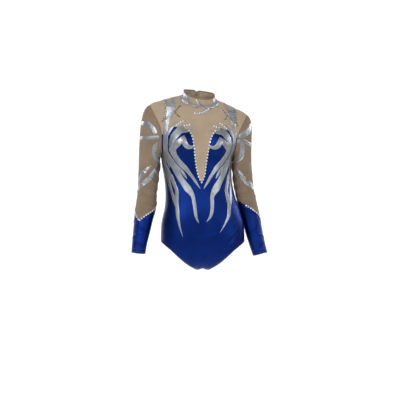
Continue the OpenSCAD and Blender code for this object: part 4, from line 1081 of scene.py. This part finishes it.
# ---------------------------------------------------------------- inside: lining, gusset, elastics, hems, label
s = np.linspace(-0.86, 0.86, 120)[None, :]
low = leg_v(s, FRONT) + 16
v = low + (340 - low) * np.linspace(0, 1, 120)[:, None]
cloth("front_lining", torso_skin(FRONT, s, v), INNER_IN, INNER_OUT, "lining_cloth")
for name, face, s, v, low, high, slot in (
        ("crotch_gusset", FRONT, np.linspace(-0.02, 0.02, 24), np.linspace(0, 18, 16),
         INNER_IN, INNER_OUT, "lining_cloth"),
        ("care_label", BACK, np.linspace(-0.34, -0.14, 40), np.linspace(712, 730, 24),
         -0.9, -0.55, "label_cloth")):
    cloth(name, torso_skin(face, s[None, :], v[:, None]), low, high, slot)

ELASTIC_W = 9
ELASTIC = "blue_stitched_elastic"
COVER = dict(zigzag=1.6, length=1.2)  # covering stitches over a seam
for side, word in SIDES:
    parts, edges = [], []
    for face in (FRONT, BACK):
        s = side * np.linspace(0.062, 1, 160)
        s = s if face == FRONT else s[::-1]
        low = leg_v(s, face)
        edge, inner = torso_skin(face, s, low + 0.6), torso_skin(face, s, low + ELASTIC_W)
        edges.append(edge)
        # a flat band inside the cloth, from the edge up
        section = np.stack([raised(skin, height)[0] for skin, height in (
            (edge, INNER_OUT), (inner, INNER_OUT), (inner, INNER_IN), (edge, INNER_IN))], axis=1)
        parts.append((section.reshape(-1, 3), ring_faces(len(s), 4)))
    # the rolled edge over it
    parts.append(tube(*raised([np.vstack(k) for k in zip(*edges)], 0.6), 1.15, 10))
    make_object(f"{word}_leg_elastic", *join_parts(parts), ELASTIC)
    s = side * np.linspace(0.09, 0.995, 200)
    stitches(f"{word}_leg_stitches", [
        raised(torso_skin(face, s, leg_v(s, face) + above), BLUE_OUT - SUNK)
        for face in (FRONT, BACK) for above in (ELASTIC_W - 3.4, ELASTIC_W - 0.6)], ELASTIC)
    # wrist: an inner band, a rolled edge and two rows of stitches
    cloth(f"{word}_wrist_hem", sleeve_grid(side, 0.95, 0.998, 14)[0], INNER_IN, INNER_OUT,
          "blue_foil_spandex", wrap=True)
    edge = raised(sleeve_skin(side, ring[0], 0.997), 0.7)
    make_object(f"{word}_wrist_edge", *tube(*edge, 1.05, 10, closed=True), ELASTIC)
    around = np.append(ring[0], 2 * math.pi)
    stitches(f"{word}_wrist_stitches",
             [raised(sleeve_skin(side, around, up), BLUE_OUT - SUNK) for up in (0.955, 0.963)], ELASTIC)
    # the V edge of the cuff
    around = np.radians(CUFF_TIP[side]) + np.linspace(-math.pi, math.pi, 260)
    stitches(f"{word}_cuff_stitches",
             [raised(sleeve_skin(side, around, cuff_edge(side, around) + 0.006), BLUE_OUT - SUNK)],
             ELASTIC, zigzag=1.8, length=1.3)

# ---------------------------------------------------------------- seams
for side, word in SIDES:
    v = np.linspace(142, 456, 200)
    (front_p, front_n), (back_p, back_n) = (torso_skin(face, side * 0.999, v) for face in (FRONT, BACK))
    seam = (front_p + back_p) / 2, unit(front_n + back_n)
    make_object(f"{word}_side_seam", *tube(*raised(seam, 1.35), 1.5, 10, squash=(0.35, 1.1)), ELASTIC)
    stitches(f"{word}_side_stitches", [raised(seam, 1.75)], ELASTIC, zigzag=2.2, length=1.2)
    hole = armhole(side, np.linspace(0, 2 * math.pi, 260))
    away = unit(hole - hole[:-1].mean(axis=0))  # out of the cloth, away from the middle of the hole
    points, faces = tube((hole + away * 1.2)[:-1], away[:-1], 1.3, 8, closed=True, squash=(0.8, 1.2))
    make_object(f"{word}_armhole_seam", points, faces, "sleeve_mesh", np.zeros((len(points), 2)))
    stitches(f"{word}_armhole_stitches", [(hole + away * 2.2, away)], "sleeve_mesh", **COVER)
    # shoulder seam from the armhole to the collar
    skin = torso_skin(FRONT, side * 0.998, np.linspace(SHOULDER_V + 2, COLLAR_V, 120))
    stitches(f"{word}_shoulder_stitches", [raised(skin, MESH_OUT - SUNK)], "nude_mesh", **COVER)

# Covering stitches along the top edge of the blue, front and back, and plain ones under the collar
for name, face, half in (("neckline", FRONT, BLUE_HALF), ("back_edge", BACK, BACK_HALF)):
    routes = []
    for side, _ in SIDES:
        x, v = half[:, 0] * side, half[:, 1] - 2.2 + SEAM_Z
        routes.append(raised(torso_skin(face, row_s(x, v), v), BLUE_OUT - SUNK))
    stitches(f"{name}_stitches", routes, ELASTIC, **COVER)
around = np.linspace(-COLLAR_END, COLLAR_END, 300)
stitches("collar_stitches", [raised(hoop_skin(around, COLLAR_V + up), MESH_OUT + lift)
                             for up, lift in ((2.0, 0.25), (-2.0, -SUNK))], "nude_mesh")


# ---------------------------------------------------------------- stones
def front_row(points, side=LEFT, pitch=1.0, first=0.0):
    """A row of stones from x and cloth height on the wearer's front; pitch is a share of the usual one."""
    line = np.asarray(points, float)
    fine = np.vstack([a + (b - a) * np.linspace(0, 1, 20)[:, None] for a, b in zip(line, line[1:])])
    x, v = fine[:, 0] * side, fine[:, 1]
    return *torso_skin(FRONT, row_s(x, v), v), STONE_PITCH * pitch, first


neck_line = spline(NECK_V, 3) + [0, SEAM_Z]
stones("neckline_stones", [front_row(neck_line), front_row(neck_line, RIGHT, first=STONE_PITCH)],
       SILVER_IN + 0.1)
for side, word in SIDES:
    stones(f"{word}_shoulder_stones", [front_row(SHOULDER_ROW, side, 0.85), front_row(CHEVRON_ROW, side, 0.75)],
           SILVER_OUT + 0.1, SMOKY_CRYSTAL)
    stones(f"{word}_bust_stones", [front_row(row, side, 0.85) for row in FINGER_ROWS], SILVER_OUT + 0.2)
    around = np.radians(CUFF_TIP[side]) + np.radians(np.arange(-CUFF_STONE_SPAN, CUFF_STONE_SPAN + 1, 2.5))
    stones(f"{word}_cuff_stones",
           [(*sleeve_skin(side, around, cuff_edge(side, around)), STONE_PITCH * 0.85, 0)], BLUE_OUT + 0.1)
stones("collar_stones", [front_row(TAIL_ROW, LEFT, 0.8), front_row(FAN_ROW, LEFT, 0.7),
                         front_row(FAN_ROW, RIGHT, 0.7)], SILVER_OUT + 0.4)

# ---------------------------------------------------------------- zip
TAPE_EDGE, TAPE_W = 1.6, 10
COIL_X, COIL_Y, COIL_R, COIL_PITCH, STRAND_R = 1.75, 1.6, 1.15, 1.35, 0.3
COIL_TOP = zip_len - 20 + 11 * 0.78 + 8.6 / 2 + 0.3  # inside the slider where it rests
for side, word in SIDES:
    x = side * np.linspace(TAPE_EDGE, TAPE_EDGE + TAPE_W, 14)[None, :]
    middle = zip_point(x, 0.0, np.linspace(0, zip_len - 1, 140)[:, None])
    cloth(f"zip_tape_{word}", (middle, np.broadcast_to(zip_out, middle.shape)), -0.1, 0.5, "zip_tape_cloth")
    turns = int((COIL_TOP - 1) / COIL_PITCH)
    a = np.linspace(0, 2 * math.pi * turns, turns * 12 + 1)
    reach = np.where(np.cos(a) < 0, 1.55, 1.2)  # the coil's heads reach over to its twin
    path = zip_point(side * (COIL_X + reach * np.cos(a) * COIL_R), COIL_Y + 0.85 * COIL_R * np.sin(a),
                     1 + a / (2 * math.pi) * COIL_PITCH + (side == LEFT) * COIL_PITCH / 2)
    make_object(f"zip_coil_{word}", *tube(path, np.broadcast_to(zip_out, path.shape), STRAND_R, 6),
                "zip_coil_nylon")
    line = zip_point(side * (TAPE_EDGE + 6.4), 2.3, np.linspace(2, zip_len - 3, 160))
    stitches(f"zip_stitches_{word}", [(line, np.broadcast_to(zip_out, line.shape))], "nude_mesh")

for node in ("zip_slider", "zip_pull_pin", "zip_pull", "zip_top_stops", "zip_bottom_stop",
             "collar_hook", "collar_eye"):
    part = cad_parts[node]
    part.data.materials.clear()
    part.data.materials.append(MATERIALS["zip_metal"])

# ---------------------------------------------------------------- the flat cuts
# Each cloth: width, length and area of its flat cut in metres, what it lies on or hangs from, and
# the pieces sewn on it. The areas allow for cloth that stretches by about 6% when it is worn.
PAIRS = [
    ("back_yoke_{}", 0.24, 0.28, 0.0318, ["back_body_panel"], []),
    ("{}_sleeve", 0.3, 0.42, 0.0745, ["front_yoke_mesh"], ["{}_armhole_seam", "{}_armhole_stitches"]),
    ("{}_cuff", 0.2, 0.2, 0.0333, ["{}_sleeve"],
     ["{}_cuff_stones", "{}_cuff_stitches", "{}_wrist_hem", "{}_wrist_edge", "{}_wrist_stitches"]),
    ("{}_bust_swirl", 0.075, 0.3, 0.0082, ["front_body_panel"], ["{}_bust_stones"]),
    ("{}_flank_flames", 0.09, 0.44, 0.0143, ["front_body_panel"], []),
    ("{}_shoulder_flame", 0.06, 0.14, 0.0038, ["front_yoke_mesh"], ["{}_shoulder_stones"]),
    ("{}_collar_fan", 0.06, 0.12, 0.0029, ["front_yoke_mesh"], []),
    ("{}_sleeve_bands", 0.08, 0.4, 0.0136, ["{}_sleeve"], []),
    ("{}_sleeve_leaves", 0.04, 0.09, 0.0014, ["{}_sleeve"], []),
    ("zip_tape_{}", 0.011, 0.19, 0.0018, ["back_yoke_{}"], ["zip_coil_{}", "zip_stitches_{}"])]
CUTS = [(name.format(word), *size, *([k.format(word) for k in part] for part in (under, sewn)))
        for name, *size, under, sewn in PAIRS for _, word in SIDES]
CUTS += [
    ("front_body_panel", 0.36, 0.56, 0.156, ["front_yoke_mesh"],
     ["left_leg_elastic", "right_leg_elastic", "left_leg_stitches", "right_leg_stitches"]),
    ("back_body_panel", 0.38, 0.52, 0.160, ["back_yoke_left", "back_yoke_right"],
     ["back_edge_stitches", "left_side_seam", "right_side_seam", "left_side_stitches",
      "right_side_stitches"]),
    ("front_yoke_mesh", 0.4, 0.4, 0.057, ["collar_band"],
     ["neckline_stones", "neckline_stitches", "collar_stones"]),
    ("collar_band", 0.36, 0.033, 0.0075, ["back_yoke_left", "back_yoke_right"],
     ["collar_binding", "collar_stitches"]),
    ("front_lining", 0.3, 0.35, 0.080, ["front_body_panel"], []),
    ("crotch_gusset", 0.02, 0.02, 0.0003, ["front_body_panel"], []),
    ("care_label", 0.027, 0.01, 0.0002, ["back_yoke_left"], [])]

# ---------------------------------------------------------------- studio
FLOOR_Z, CURVE_R, BACK_Y, HALF_WIDTH = -1.45, 1.6, 3.6, 9.0
profile = [(-9.0, FLOOR_Z), (BACK_Y - CURVE_R, FLOOR_Z)]
profile += [(BACK_Y - CURVE_R + CURVE_R * math.sin(a), FLOOR_Z + CURVE_R * (1 - math.cos(a)))
            for a in np.linspace(0.08, math.pi / 2, 24)]
profile.append((BACK_Y, 6.0))
backdrop_points = [(x, y, z) for y, z in profile for x in (-HALF_WIDTH, HALF_WIDTH)]
backdrop_faces = [(2 * i, 2 * i + 1, 2 * i + 3, 2 * i + 2) for i in range(len(profile) - 1)]
backdrop_mesh = bpy.data.meshes.new("backdrop")
backdrop_mesh.from_pydata(backdrop_points, [], backdrop_faces)
backdrop_mesh.polygons.foreach_set("use_smooth", [True] * len(backdrop_faces))
backdrop_mesh.materials.append(studio_white())
backdrop = bpy.data.objects.new("backdrop", backdrop_mesh)
bpy.context.scene.collection.objects.link(backdrop)


def area_light(name, place, aim, size, power):
    data = bpy.data.lights.new(name, "AREA")
    data.shape, data.size, data.energy = "DISK", size, power
    light = bpy.data.objects.new(name, data)
    bpy.context.scene.collection.objects.link(light)
    way = np.array(aim, float) - np.array(place, float)
    light.location = place
    tilt = math.acos(-way[2] / np.linalg.norm(way))
    light.rotation_euler = (tilt, 0, math.atan2(way[1], way[0]) - math.pi / 2)
    return light


MIDDLE = (0.0, 0.0, -0.3)
BACKDROP = (0.0, BACK_Y, -0.2)
area_light("key", (-1.3, -2.8, 0.7), MIDDLE, 1.5, 46)
area_light("fill", (1.9, -2.4, 0.1), MIDDLE, 1.2, 20)
area_light("top", (0.2, 0.1, 2.4), MIDDLE, 1.2, 8)
area_light("rear", (-1.4, 2.2, 1.2), MIDDLE, 1.0, 12)
area_light("backdrop_left", (-2.6, 1.2, 0.6), BACKDROP, 1.2, 60)
area_light("backdrop_right", (2.6, 1.2, 0.6), BACKDROP, 1.2, 60)

world = bpy.data.worlds.new("studio")
bpy.context.scene.world = world
world.use_nodes = True
world.node_tree.nodes["Background"].inputs["Color"].default_value = (1, 1, 1, 1)
world.node_tree.nodes["Background"].inputs["Strength"].default_value = 0.3
bpy.context.scene.view_settings.view_transform = "Standard"

camera_data = bpy.data.cameras.new("camera")
camera_data.lens, camera_data.sensor_width = 72, 36
camera = bpy.data.objects.new("camera", camera_data)
bpy.context.scene.collection.objects.link(camera)
camera.location = (0.003, -2.998, -0.4044)
camera.rotation_euler = (math.pi / 2, 0, 0)
bpy.context.scene.camera = camera
